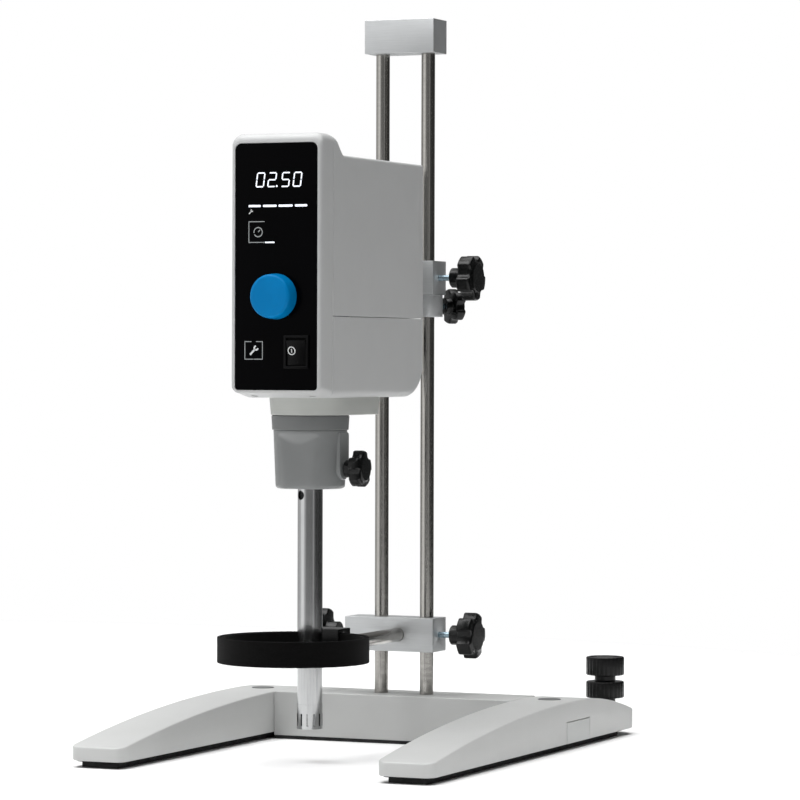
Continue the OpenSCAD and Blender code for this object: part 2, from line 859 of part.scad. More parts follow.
// Outline of the rear shells behind the fall, with crisper corners at the top
module rear_outline(inset) {
    band = corner_r + 2 * rear_corner_r;
    head_outline(head_z, head_top, inset);
    translate([0, head_top - inset - band / 2])
        round_rect(head_w - 2 * inset, band, max(rear_corner_r - inset, 0.5));
}

// The rear shells' solid, with the bezel's corners at the seam and crisper ones behind the fall
module shell_body(inset, front) {
    intersection() {
        shell_solid(inset, front);
        union() {
            run_back(front, head_seam + slope_run) head_outline(head_z, seam_top, inset);
            run_back(head_seam + slope_run - cut, head_rear + cut) rear_outline(inset);
        }
    }
}

module upper_shell() {
    color("lightgray") difference() {
        union() {
            difference() {
                shell_body(0, head_seam);
                shell_body(shell_wall, head_seam - cut);
                block_between([-head_w, head_seam - cut, 0], [head_w, head_rear + cut, seam_z]);
            }
            // Posts for the power board, on the rear wall
            for (i = [-1, 1], z = board_post_z)
                along_y(i * board_post_x, power_board_y + board_t, z)
                    cylinder(d = board_post_d, h = head_rear - shell_wall - power_board_y - board_t + cut);
        }
        along_y(0, head_rear - 2 * shell_wall, block_z) cylinder(r = bar_r + part_gap, h = 3 * shell_wall);
        for (a = [45 : 90 : 315]) 
            along_y(bar_bolt_r * cos(a), head_rear - 2 * shell_wall, block_z + bar_bolt_r * sin(a))
            cylinder(d = screw_d + 2 * run_fit, h = 3 * shell_wall);
    }
}

module lower_shell() {
    color("lightgray") difference() {
        union() {
            difference() {
                shell_body(0, head_seam);
                shell_body(shell_wall, head_seam - cut);
                block_between([-head_w, head_seam - cut, seam_z], [head_w, head_rear + cut, bezel_top + cut]);
            }
            // Bosses for the screws that hold the bezel
            for (i = [-1, 1]) block_between([i * bezel_screw_x - 5, head_seam, head_z + 1],
                [i * bezel_screw_x + 5, head_seam + 8, head_z + 18]);
        }
        translate([0, tool_y, head_z - cut]) cylinder(r = lower_bearing_r + 2, h = shell_wall + 2 * cut);
        for (i = [-1, 1]) translate([0, tool_y + i * motor_post, head_z - cut])
            cylinder(d = screw_d + 2 * run_fit, h = shell_wall + 2 * cut);
        block_between([-inlet_w / 2, head_rear - 2 * shell_wall, inlet_z - inlet_h / 2],
            [inlet_w / 2, head_rear + cut, inlet_z + inlet_h / 2]);
    }
}

// Socket for the mains lead, with its three pins
module power_inlet() {
    w = inlet_w - 2 * rest_gap;
    h = inlet_h - 2 * rest_gap;
    floor_y = head_rear - inlet_deep + inlet_wall;
    color("#202020") {
        difference() {
            union() {
                block_between([-w / 2, head_rear - inlet_deep, inlet_z - h / 2],
                    [w / 2, head_rear + inlet_lip, inlet_z + h / 2]);
                block_between([-w / 2 - inlet_rim, head_rear, inlet_z - h / 2 - inlet_rim],
                    [w / 2 + inlet_rim, head_rear + inlet_lip, inlet_z + h / 2 + inlet_rim]);
            }
            block_between([-w / 2 + inlet_wall, floor_y, inlet_z - h / 2 + inlet_wall],
                [w / 2 - inlet_wall, head_rear + inlet_lip + cut, inlet_z + h / 2 - inlet_wall]);
        }
        for (i = [-1, 0, 1]) translate([pin_gap * i, floor_y, inlet_z + (i == 0 ? 3 : -1)])
            block_between([-1, -cut, -2], [1, inlet_deep - inlet_wall - pin_recess, 2]);
    }
}

module neck_flange() {
    color("silver") difference() {
        translate([0, tool_y, neck_z]) {
            cylinder(r = neck_r, h = neck_h);
            translate([0, neck_run, 0]) cylinder(r = neck_r, h = neck_h);
            translate([-neck_r, 0, 0]) cube([2 * neck_r, neck_run, neck_h]);
        }
        translate([0, tool_y, neck_z - cut]) cylinder(r = driver_r + 4, h = neck_h + 2 * cut);
        // Air outlet hollow, open to the shell above
        block_between([-neck_r + 12, tool_y + neck_r - 4, neck_z + shell_wall],
            [neck_r - 12, tool_y + neck_run + 10, head_z + cut]);
        for (i = [-1, 1]) translate([0, tool_y + i * motor_post, neck_z - cut]) {
            cylinder(d = screw_d + 2 * run_fit, h = neck_h + 2 * cut);
            cylinder(d = 2 * screw_d + 2 * run_fit, h = 5 + cut);
        }
    }
}

// Screws of the bezel, of the support bar's flange, of the neck and of the motor's bridge
module head_screws() {
    color("silver") {
        for (i = [-1, 1]) translate([i * bezel_screw_x, bezel_screw_y, head_z + bezel_recess])
            mirror([0, 0, 1]) screw(screw_d, 10, 3, 2);
        for (a = [45 : 90 : 315]) along_y(bar_bolt_r * cos(a), head_rear, block_z + bar_bolt_r * sin(a))
            screw(screw_d, shell_wall + bar_flange_t, 3, 2);
        for (i = [-1, 1]) {
            translate([0, tool_y + i * motor_post, neck_z + 4]) mirror([0, 0, 1])
                screw(screw_d, head_z - neck_z + shell_wall + 1, 3, 3);
            translate([0, tool_y + i * motor_post, bridge_z + bridge_t])
                screw(screw_d, bridge_z + bridge_t - motor_base_z - motor_base_t - 4, 3, 3);
        }
    }
}

// Board behind the panel with its digit module and lamp bar
module display_board() {
    top = panel_z + panel_h - 6;
    color("darkgreen") difference() {
        block_between([-panel_w / 2 + 1, board_y, panel_z + 6], [panel_w / 2 - 1, board_y + board_t, top]);
        block_between([switch_x - switch_w / 2, board_y - cut, head_z + switch_z - switch_h / 2],
            [switch_x + switch_w / 2, board_y + board_t + cut, head_z + switch_z + switch_h / 2]);
    }
    color("black") block_between([-digits_w / 2, board_y - digits_t, digits_z - digits_h / 2],
        [digits_w / 2, board_y - run_fit, digits_z + digits_h / 2]);
    color("white") block_between([-digits_w / 2, board_y - lamps_t, lamps_z - lamps_h / 2],
        [digits_w / 2, board_y - run_fit, lamps_z + lamps_h / 2]);
}

// Board on the rear wall with its heat sink, smoothing capacitor and choke
module power_board() {
    front = power_board_y;
    half = head_w / 2 - board_inset;
    color("darkgreen") block_between([-half, front, seam_z + 4], [half, front + board_t, head_top - 10]);
    color("silver") block_between([-sink_w / 2 - parts_x, front - sink_t, parts_z - sink_h / 2],
        [sink_w / 2 - parts_x, front - run_fit, parts_z + sink_h / 2]);
    color("navy") along_y(2 * parts_x, front - capacitor_l, parts_z)
        cylinder(r = capacitor_r, h = capacitor_l - run_fit);
    color("#b87333") along_y(-2 * parts_x, front - choke_t, seam_z + 2 * choke_r)
        ring(choke_r, choke_r - choke_wire, choke_t - run_fit);
}

module encoder() {
    y = board_y - run_fit;
    color("dimgray") difference() {
        union() {
            block_between([-encoder_s / 2, y - 6, head_z + speed_knob_z - encoder_s / 2],
                [encoder_s / 2, y, head_z + speed_knob_z + encoder_s / 2]);
            along_y(0, head_front + panel_t + panel_recess + 1, head_z + speed_knob_z)
                cylinder(d = spindle_d + 3, h = y - head_front - panel_t - panel_recess - 2);
        }
        along_y(0, head_front, head_z + speed_knob_z)
            cylinder(d = spindle_d + 2 * run_fit, h = y - head_front - 1.5);
    }
}

module switch_frame() {
    z = head_z + switch_z;
    w = switch_w - 2 * switch_wall;
    h = switch_h - 2 * switch_wall;
    face = head_front + panel_recess;
    color("#181818") difference() {
        union() {
            block_between([switch_x - switch_w / 2, face - switch_proud, z - switch_h / 2],
                [switch_x + switch_w / 2, face, z + switch_h / 2]);
            block_between([switch_x - w / 2 + rest_gap, face - cut, z - h / 2 + rest_gap],
                [switch_x + w / 2 - rest_gap, board_y + 10, z + h / 2 - rest_gap]);
        }
        block_between([switch_x - w / 2 + switch_liner, face - switch_proud - cut, z - h / 2 + switch_liner],
            [switch_x + w / 2 - switch_liner, board_y, z + h / 2 - switch_liner]);
    }
}

// Rocker that turns about a pin across the switch, lying in its "on" position at rest
module rocker() {
    z = head_z + switch_z;
    w = switch_w - 2 * switch_wall - 2 * switch_liner - 2 * rocker_gap;
    h = switch_h - 2 * switch_wall - 2 * switch_liner - 2 * rocker_gap - 2;
    color("#181818") translate([switch_x, pivot_y, z]) rotate([rocker_tip / 2, 0, 0]) {
        translate([-w / 2, 0, 0]) rotate([90, 0, 90]) linear_extrude(w)
            polygon([[-7, -h / 2], [-6, 0], [-7, h / 2], [-2, h / 2 - 1], [2, 3], [2, -3], [-2, -h / 2 + 1]]);
        along_x(-w / 2 - rocker_gap + pivot_end, 0, 0)
            cylinder(r = pivot_r, h = w + 2 * (rocker_gap - pivot_end));
    }
}

// Speed knob with its spindle
module speed_knob() {
    z = head_z + speed_knob_z;
    face = head_front + panel_recess;
    skirt = speed_knob_t - 5;
    color("#0075b5") {
        translate([0, face - knob_stand, z]) rotate([90, 0, 0]) {
            cylinder(d = speed_knob_d, h = skirt);
            translate([0, 0, skirt]) cylinder(d1 = speed_knob_d, d2 = speed_knob_d - 2, h = 3);
            translate([0, 0, skirt + 3]) cylinder(d1 = speed_knob_d - 2, d2 = speed_knob_d - 7, h = 2);
        }
        along_y(0, face - knob_stand - cut, z) cylinder(d = spindle_d, h = board_y - face - 1);
    }
}

// ---- Motor ----

module motor_frame() {
    color("lightgray") difference() {
        translate([0, tool_y, motor_base_z]) {
            intersection() {
                cylinder(r = motor_r, h = motor_base_t);
                translate([0, 0, motor_base_t / 2])
                    cube([motor_base_w, 2 * motor_r, motor_base_t], center = true);
            }
            for (i = [-1, 1]) translate([0, i * motor_post, 0])
                cylinder(r = motor_post_r, h = core_z - motor_base_z);
        }
        translate([0, tool_y, motor_base_z - cut]) cylinder(r = lower_bearing_r, h = bearing_h + cut);
        translate([0, tool_y, motor_base_z]) cylinder(r = motor_shaft_r + 2, h = motor_base_t + cut);
        for (i = [-1, 1]) translate([0, tool_y + i * motor_post, motor_base_z - cut])
            cylinder(d = screw_d + 2 * run_fit, h = core_z - motor_base_z + 2 * cut);
    }
}

// Stack of laminations, flattened front and back
module motor_stator() {
    color("slategray") translate([0, tool_y, core_z]) difference() {
        intersection() {
            cylinder(r = motor_r, h = core_h);
            translate([0, 0, core_h / 2]) cube([2 * motor_r, 2 * core_flat, core_h], center = true);
        }
        translate([0, 0, -cut]) cylinder(r = armature_r + air_gap, h = core_h + 2 * cut);
        // Windows for the field coils
        for (i = [-1, 1], j = [-1, 1]) translate([i * coil_x, j * (pole_w + coil_edge) / 4, core_h / 2])
            cube([coil_t, (coil_edge - pole_w) / 2, core_h + 2 * cut], center = true);
        for (i = [-1, 1]) translate([0, i * motor_post, -cut])
            cylinder(d = screw_d + 2 * run_fit, h = core_h + 2 * cut);
    }
}

// Two coils of copper wire, each round one pole
module field_coils() {
    fit = 2 * part_gap;
    color("#b87333") for (i = [-1, 1]) translate([i * coil_x, tool_y, core_z + core_h / 2]) difference() {
        cube([coil_t - fit, coil_edge - fit, core_h + 2 * coil_head], center = true);
        cube([coil_t + fit, pole_w + fit, core_h + 2 * run_fit], center = true);
    }
}

// Upper end plate with two brass brush tubes and their carbon brushes
module brush_bridge() {
    brush_z = commutator_z + commutator_h / 2;
    color("dimgray") translate([0, tool_y, 0]) difference() {
        union() {
            translate([-bridge_w / 2, -motor_r, bridge_z]) cube([bridge_w, 2 * motor_r, bridge_t]);
            for (i = [-1, 1]) {
                translate([0, i * motor_post, core_z + core_h])
                    cylinder(r = motor_post_r, h = bridge_z - core_z - core_h + cut);
                translate([i * brush_x - brush_box / 2 + 1, -brush_box / 2, brush_z - brush_box / 2])
                    cube([brush_box - 2, brush_box, bridge_z + cut - brush_z + brush_box / 2]);
            }
        }
        translate([0, 0, bridge_z - cut]) cylinder(r = upper_bearing_r, h = bearing_h + cut);
        for (i = [-1, 1]) {
            translate([0, i * motor_post, core_z + core_h - cut])
                cylinder(d = screw_d + 2 * run_fit, h = bridge_z + bridge_t - core_z - core_h + 2 * cut);
            along_x(i * brush_x - 6, 0, brush_z) cylinder(r = brush_tube_r, h = 12);
        }
    }
    for (i = [-1, 1]) {
        color("#b5a642") along_x(i * brush_x - 5, tool_y, brush_z)
            ring(brush_tube_r - run_fit, brush_r + run_fit, 10);
        color("#303030") along_x(i * (commutator_r + run_fit + 6) - 6, tool_y, brush_z)
            cylinder(r = brush_r, h = 12);
    }
}

module motor_bearings() {
    color("silver") {
        translate([0, tool_y, motor_base_z]) ring(lower_bearing_r, motor_shaft_r + shaft_fit, bearing_h);
        translate([0, tool_y, bridge_z]) ring(upper_bearing_r, motor_shaft_r + shaft_fit, bearing_h);
    }
}

// Core with its winding heads, and the commutator, both pressed on the shaft
module armature() {
    color("#8c5a2b") translate([0, tool_y, core_z]) {
        ring(armature_r, motor_shaft_r, core_h);
        translate([0, 0, -winding_h]) ring(armature_r - 3, motor_shaft_r, winding_h);
        translate([0, 0, core_h]) ring(armature_r - 3, motor_shaft_r, winding_h);
    }
    color("#b87333") translate([0, tool_y, commutator_z]) ring(commutator_r, motor_shaft_r, commutator_h);
}

// Shaft with the driver that takes the tool's hexagon
module motor_shaft() {
    color("silver") translate([0, tool_y, 0]) difference() {
        union() {
            translate([0, 0, driver_z + driver_h - cut])
                cylinder(r = motor_shaft_r, h = bridge_z + bearing_h - driver_z - driver_h + cut);
            translate([0, 0, driver_z]) cylinder(r = driver_r, h = driver_h);
        }
        translate([0, 0, driver_z - cut]) cylinder(r = hex_r + hex_fit, h = hex_h + cut, $fn = 6);
    }
}

module cooling_fan() {
    color("#303030") translate([0, tool_y, fan_z]) {
        difference() {
            union() {
                cylinder(r = 9, h = fan_h);
                cylinder(r = fan_r, h = 1.6);
                for (i = [0 : blades - 1]) rotate(i * 360 / blades)
                    translate([8, -0.8, 0]) cube([fan_r - 8.5, 1.6, fan_h]);
            }
            translate([0, 0, -cut]) cylinder(r = motor_shaft_r, h = fan_h + 2 * cut);
        }
    }
}

// ---- Coupling and tool ----

module coupling_ring() {
    color("dimgray") translate([0, tool_y, ring_z]) ring(ring_r, ring_r - 7, ring_h);
}

// Cup with a flat front, a boss for the clamping stud and the tool's socket
module coupling_cup() {
    color("gray") translate([0, tool_y, 0]) difference() {
        union() {
            difference() {
                intersection() {
                    translate([0, 0, cup_z]) cylinder(r1 = cup_foot_r, r2 = cup_r, h = cup_h);
                    union() {
                        translate([-cup_r, -cup_flat, cup_z]) cube([2 * cup_r, 2 * cup_r + cup_flat, cup_h]);
                        translate([0, 0, ring_z - 8]) cylinder(r = cup_r, h = 8);
                    }
                }
                translate([0, 0, cup_z + 5]) cylinder(r = cup_flat - shell_wall, h = cup_h);
            }
            intersection() {
                translate([0, 0, cup_z]) cylinder(r = socket_r, h = tool_seat + 1);
                translate([-cup_r, -cup_flat, cup_z]) cube([2 * cup_r, 2 * cup_r, cup_h]);
            }
            // Boss on the right, a flat rib with a round lower end
            along_x(tube_r + 2, 0, cup_knob_z) cylinder(d = cup_boss_w, h = cup_boss_x - tube_r - 2);
            block_between([cup_r - 8, -cup_boss_w / 2, cup_knob_z],
                [cup_boss_x, cup_boss_w / 2, cup_boss_top]);
        }
        translate([0, 0, cup_z - cut]) cylinder(r = tube_r + run_fit, h = tool_seat + cut);
        translate([0, 0, cup_z]) cylinder(r = driver_r + 1, h = cup_h + cut);
        along_x(0, 0, cup_knob_z) cylinder(r = stud_r + run_fit, h = cup_r + 2);
    }
}

module tool_tube() {
    low = tool_foot_z + stator_h;
    color("silver") translate([0, tool_y, 0]) difference() {
        translate([0, 0, low]) ring(tube_r, tube_bore, seat_top - low);
        rotate(-vent_turn) along_y(0, -tube_d, vent_z) cylinder(d = vent_d, h = 2 * tube_d);
    }
}

// Three plain bushes that guide the tool shaft
module tool_bushes() {
    low = tool_foot_z + stator_h + stator_spigot + 2;
    high = seat_top - bush_h - 2;
    color("white") translate([0, tool_y, 0]) for (z = [low, (low + high) / 2 - 20, high])
        translate([0, 0, z]) ring(tube_bore, shaft_r + shaft_fit, bush_h);
}

// Slotted stator that plugs into the tube's lower end
module stator_head() {
    color("silver") translate([0, tool_y, tool_foot_z]) {
        difference() {
            ring(tube_r + 0.3, stator_bore, stator_h);
            for (i = [0 : stator_slots - 1]) rotate((i + 0.5) * 360 / stator_slots)
                translate([stator_bore - 1, -stator_slot_w / 2, 3]) cube([tube_r, stator_slot_w, 12]);
        }
        translate([0, 0, stator_h - cut]) ring(tube_bore - run_fit / 2, stator_bore, stator_spigot + cut);
    }
}

module tool_shaft() {
    color("silver") translate([0, tool_y, 0]) {
        translate([0, 0, rotor_z]) cylinder(r = shaft_r, h = driver_z - 0.5 - rotor_z);
        translate([0, 0, driver_z - 0.5 - cut]) cylinder(r = hex_r, h = hex_h - 1 + cut, $fn = 6);
    }
}

module rotor() {
    outer = stator_bore - rotor_gap;
    color("lightgray") translate([0, tool_y, rotor_z]) difference() {
        cylinder(r = outer, h = rotor_h);
        translate([0, 0, -cut]) cylinder(r = shaft_r, h = rotor_h + 2 * cut);
        translate([0, 0, -cut]) difference() {
            cylinder(r = outer - 2.2, h = rotor_h - 5);
            translate([0, 0, -cut]) cylinder(r = shaft_r + 1.6, h = rotor_h);
        }
        for (i = [0 : rotor_slots - 1]) rotate(i * 360 / rotor_slots)
            translate([shaft_r + 1.6, -1.2, -cut]) cube([outer, 2.4, rotor_h - 4]);
    }
}

// ---- Clamping studs and knobs ----

// Stud from a low to a high distance along +Z
module stud(from, to) { translate([0, 0, from]) cylinder(r = stud_r, h = to - from); }

module at_head_clamp() { along_x(rod_x, rod_y, block_z) children(); }

module at_collar_clamp() { translate([rod_x, rod_y, collar_knob_z]) rotate([0, 90, collar_turn]) children(); }

module at_cup_clamp() { along_x(0, tool_y, cup_knob_z) children(); }

module at_right_clamp() { along_x(rod_x, rod_y, clamp_z) children(); }

module at_left_clamp() { translate([-rod_x, rod_y, clamp_z]) rotate([0, -90, 0]) children(); }

head_knob_at = block_w / 2 - rod_x + stud_gap;
right_knob_at = clamp_right - rod_x + stud_gap;
left_knob_at = clamp_left - rod_x + stud_gap;
collar_knob_at = collar_d / 2 + knob_gap;
cup_knob_at = cup_boss_x + knob_gap;

module head_stud() {
    color("lightsteelblue") at_head_clamp() stud(rod_r + run_fit, head_knob_at + stud_grip);
}

module head_knob() {
    color("#1c1c1c") at_head_clamp() translate([0, 0, head_knob_at])
        star_knob(knob_d, knob_t, hub_d, hub_h, stud_grip);
}

module stop_collar() {
    color("lightgray") difference() {
        translate([rod_x, rod_y, collar_z]) ring(collar_d / 2, rod_r + run_fit, collar_h);
        at_collar_clamp() stud_hole(collar_d);
    }
}

module stud_hole(length) { cylinder(r = stud_r + run_fit, h = length); }

module collar_stud() {
    color("lightsteelblue") at_collar_clamp() stud(rod_r + run_fit, collar_knob_at + small_stud_grip);
}

module collar_knob() {
    color("#1c1c1c") at_collar_clamp() translate([0, 0, collar_knob_at])
        star_knob(small_knob_d, small_knob_t, small_hub_d, collar_hub_h, small_stud_grip);
}

module cup_stud() {
    color("lightsteelblue") at_cup_clamp() stud(tube_r + run_fit, cup_knob_at + small_stud_grip);
}

module cup_knob() {
    color("#1c1c1c") at_cup_clamp() translate([0, 0, cup_knob_at])
        star_knob(small_knob_d, small_knob_t, small_hub_d, cup_hub_h, small_stud_grip);
}

// ---- Vessel clamp ----

module clamp_block() {
    color("lightgray") difference() {
        block_between([-clamp_left, rod_y - block_r, clamp_z - block_r],
            [clamp_right, rod_y + block_r, clamp_z + block_r]);
        for (i = [-1, 1]) translate([i * rod_x, rod_y, clamp_z - block_s])
            cylinder(r = rod_r + run_fit, h = 2 * block_s);
        along_y(0, rod_y - block_s, clamp_z) cylinder(r = bar_r + run_fit, h = 2 * block_s);
        at_right_clamp() stud_hole(clamp_right);
        at_left_clamp() stud_hole(clamp_left);
    }
}

module right_clamp_stud() {
    color("lightsteelblue") at_right_clamp() stud(rod_r + run_fit, right_knob_at + stud_grip);
}

module right_clamp_knob() {
    color("#1c1c1c") at_right_clamp() translate([0, 0, right_knob_at])
        star_knob(knob_d, knob_t, hub_d, hub_h, stud_grip);
}

module left_clamp_stud() {
    color("lightsteelblue") at_left_clamp() stud(rod_r + run_fit, left_knob_at + stud_grip);
}

module left_clamp_knob() {
    color("#1c1c1c") at_left_clamp() translate([0, 0, left_knob_at])
        star_knob(knob_d, knob_t, hub_d, hub_h, stud_grip);
}

module strap_bar() {
    front = strap_y + strap_out + cradle_back - bar_grip;
    color("silver") along_y(0, front, clamp_z) cylinder(r = bar_r, h = rod_y + block_r + bar_tail - front);
}

// Saddle that the strap is threaded through
module strap_cradle() {
    front = strap_y + strap_r - cradle_w / 2;
    back = strap_y + strap_out + cradle_back;
    color("#262626") difference() {
        translate([-cradle_w / 2, front, strap_z - cradle_h / 2]) cube([cradle_w, back - front, cradle_h]);
        translate([0, strap_y, strap_z - cradle_h])
            cylinder(r = strap_r - part_gap - cradle_lip, h = 2 * cradle_h);
        translate([0, strap_y, strap_z - strap_w / 2 - part_gap])
            ring(strap_out + part_gap, strap_r - part_gap, strap_w + 2 * part_gap);
        along_y(0, back - bar_grip, clamp_z) cylinder(r = bar_r + run_fit, h = bar_grip + cut);
    }
}

module strap() {
    color("#151515") translate([0, strap_y, strap_z - strap_w / 2])
        ring(strap_out, strap_r, strap_w, $fn = 96);
}

cross_beam();
beam_sheet();
left_leg();
right_leg();
left_leg_strip();
right_leg_strip();
stand_screws();
leg_plugs();
access_covers();
left_rod();
right_rod();
top_block();
levelling_screw();
levelling_knob();
lock_nut();
head_block();
support_bar();
front_bezel();
front_panel();
upper_shell();
lower_shell();
neck_flange();
head_screws();
display_board();
power_board();
power_inlet();
encoder();
switch_frame();
rocker();
speed_knob();
motor_frame();
motor_stator();
field_coils();
brush_bridge();
motor_bearings();
armature();
motor_shaft();
cooling_fan();
coupling_ring();
coupling_cup();
tool_tube();
tool_bushes();
stator_head();
tool_shaft();
rotor();
head_stud();
head_knob();
stop_collar();
collar_stud();
collar_knob();
cup_stud();
cup_knob();
clamp_block();
right_clamp_stud();
right_clamp_knob();
left_clamp_stud();
left_clamp_knob();
strap_bar();
strap_cradle();
strap();
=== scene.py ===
# A rotor stator homogenizer on its twin rod stand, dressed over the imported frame.
# Every size in this file is in millimetres until it goes into a mesh.
import math

import bmesh
import bpy
import numpy as np
from mathutils import Matrix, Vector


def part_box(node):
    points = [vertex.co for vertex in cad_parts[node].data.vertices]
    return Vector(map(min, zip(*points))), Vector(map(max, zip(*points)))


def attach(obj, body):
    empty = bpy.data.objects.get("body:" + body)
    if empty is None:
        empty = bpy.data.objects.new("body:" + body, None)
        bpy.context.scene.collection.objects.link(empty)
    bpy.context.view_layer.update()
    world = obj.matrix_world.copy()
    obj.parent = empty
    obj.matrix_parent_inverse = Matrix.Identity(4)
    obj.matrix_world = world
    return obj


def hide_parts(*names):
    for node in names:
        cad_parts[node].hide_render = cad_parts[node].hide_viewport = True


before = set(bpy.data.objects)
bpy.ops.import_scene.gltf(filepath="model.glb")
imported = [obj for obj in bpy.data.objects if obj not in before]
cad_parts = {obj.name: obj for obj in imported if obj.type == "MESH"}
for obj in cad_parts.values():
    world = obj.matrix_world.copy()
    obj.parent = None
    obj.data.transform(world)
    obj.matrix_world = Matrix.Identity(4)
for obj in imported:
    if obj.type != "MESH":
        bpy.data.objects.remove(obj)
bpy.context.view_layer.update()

mm = 0.001


def boxOf(node):
    # Low and high corner of a solid
    low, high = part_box(node)
    return np.array(low) / mm, np.array(high) / mm


# Helpers for meshes: points are in millimetres until they go into a mesh

def grid(rows, wrap=True, loop=False, firstCap=False, lastCap=False):
    # Rows of points become quads between neighbours: wrap joins the last column to the first,
    # loop joins the last row to the first, and a cap is one flat face on an end row
    count, width = rows.shape[:2]
    index = np.arange(count * width).reshape(count, width)
    cells = np.vstack([index, index[:1]]) if loop else index
    cells = np.hstack([cells, cells[:, :1]]) if wrap else cells
    corners = [cells[:-1, :-1], cells[:-1, 1:], cells[1:, 1:], cells[1:, :-1]]
    faces = np.stack(corners, -1).reshape(-1, 4).tolist()
    faces += [index[0].tolist()] * firstCap + [index[-1].tolist()] * lastCap
    return rows.reshape(-1, 3), faces


def softPath(corners, fillets, steps=6):
    # Each corner becomes a parabola that starts and ends a fillet's length from it
    corners = np.array(corners, float)
    back = np.roll(corners, 1, 0) - corners
    ahead = np.roll(corners, -1, 0) - corners
    reach = np.broadcast_to(np.array(fillets, float), len(corners))[:, None]
    start = corners + back / np.maximum(np.linalg.norm(back, axis=1), 1e-9)[:, None] * reach
    end = corners + ahead / np.maximum(np.linalg.norm(ahead, axis=1), 1e-9)[:, None] * reach
    t = np.linspace(0, 1, steps)[None, :, None]
    curve = (1 - t) ** 2 * start[:, None] + 2 * t * (1 - t) * corners[:, None] + t ** 2 * end[:, None]
    return curve.reshape(-1, corners.shape[1])


def turned(radius, height, around=96):
    # Each radius, one number or one for each angle, turns about z: x = r cos a, y = r sin a
    angle = fullTurn(around)
    radius = np.asarray(radius, float)
    radius = radius[:, None] if radius.ndim == 1 else radius
    height = np.asarray(height, float)[:, None] * np.ones(around)
    return np.stack([radius * np.cos(angle), radius * np.sin(angle), height], -1)


def aimed(points, origin, axis):
    # Local z goes along the axis, local x stays level, and the local origin moves to its place
    z = np.array(axis, float) / np.linalg.norm(axis)
    helper = np.array([0, 0, 1.0]) if abs(z[2]) < 0.9 else np.array([0, -1.0, 0])
    x = np.cross(helper, z)
    x /= np.linalg.norm(x)
    return points @ np.stack([x, np.cross(z, x), z]) + np.array(origin, float)


def fullTurn(count):
    # Angles once round, without the last, which is the first again
    return np.linspace(0, 2 * np.pi, count, endpoint=False)


def quarterTurn(count):
    return np.linspace(0, np.pi / 2, count)


def smoothStep(t):
    t = np.clip(t, 0, 1)
    return t * t * (3 - 2 * t)


def finishMesh(mesh, sharpAngle):
    # Doubles are merged and faces turned outwards before anything gets its thickness
    work = bmesh.new()
    work.from_mesh(mesh)
    bmesh.ops.remove_doubles(work, verts=work.verts, dist=0.002 * mm)
    bmesh.ops.recalc_face_normals(work, faces=work.faces)
    work.to_mesh(mesh)
    work.free()
    mesh.shade_smooth()
    mesh.set_sharp_from_angle(angle=math.radians(sharpAngle))


def addObject(name, data):
    # A new object in the scene
    added = bpy.data.objects.new(name, data)
    bpy.context.scene.collection.objects.link(added)
    return added


def addSurface(name, points, faces, sharpAngle=None):
    # A new mesh object, with its sides turned outwards where a sharp angle is given
    mesh = bpy.data.meshes.new(name)
    mesh.from_pydata((points * mm).tolist(), [], faces)
    if sharpAngle:
        finishMesh(mesh, sharpAngle)
    return addObject(name, mesh)


def addPiece(name, parts, look, body, replaced=(), sharpAngle=32):
    # One object from several surfaces, which rides on a body and stands for solids
    starts = np.cumsum([0] + [len(points) for points, _ in parts])
    points = np.concatenate([points for points, _ in parts])
    faces = [(np.array(face) + start).tolist() for (_, own), start in zip(parts, starts) for face in own]
    piece = addSurface(name, points, faces, sharpAngle)
    piece.data.materials.append(look)
    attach(piece, body)
    if replaced:
        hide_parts(*replaced)
    return piece


def thicken(piece, wall):
    # Gives a skin its wall on the inside
    modifier = piece.modifiers.new("wall", "SOLIDIFY")
    modifier.thickness = wall * mm
    modifier.offset = -1
    modifier.use_even_offset = True
    return piece


def carve(piece, *cutters):
    # Cuts closed shapes out of a piece, after its wall has its thickness
    for points, faces in cutters:
        tool = addSurface("cutter", points, faces, 30)
        cut = piece.modifiers.new("cut", "BOOLEAN")
        cut.operation = "DIFFERENCE"
        cut.solver = "EXACT"
        cut.object = tool
        bpy.context.view_layer.update()
        settled = bpy.data.meshes.new_from_object(piece.evaluated_get(bpy.context.evaluated_depsgraph_get()))
        piece.modifiers.clear()
        piece.data = settled
        bpy.data.objects.remove(tool)
    piece.data.set_sharp_from_angle(angle=math.radians(32))
    return piece


def softened(node, look, body, width, covered=None):
    # A copy of a solid with its doubles merged and flat faces joined, and its edges rounded. Small holes
    # within a covered box, which another piece hides, are closed, so that their edges leave no creases
    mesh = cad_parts[node].data.copy()
    work = bmesh.new()
    work.from_mesh(mesh)
    bmesh.ops.remove_doubles(work, verts=work.verts, dist=0.002 * mm)
    if covered:
        low, high = covered
        rims = [vert for vert in work.verts if all(a < v / mm < b for a, v, b in zip(low, vert.co, high))]
        bmesh.ops.delete(work, geom=rims, context="VERTS")
        bmesh.ops.holes_fill(work, edges=[edge for edge in work.edges if edge.is_boundary])
    bmesh.ops.dissolve_limit(work, angle_limit=math.radians(0.1), verts=work.verts, edges=work.edges)
    work.to_mesh(mesh)
    work.free()
    mesh.materials.clear()
    mesh.materials.append(look)
    mesh.shade_smooth()
    piece = addObject(node + "_soft_edges", mesh)
    edge = piece.modifiers.new("edge", "BEVEL")
    edge.width = width * mm
    edge.segments = 3
    edge.limit_method = "ANGLE"
    edge.angle_limit = math.radians(32)
    edge.use_clamp_overlap = False
    edge.harden_normals = True
    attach(piece, body)
    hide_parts(node)
    return piece


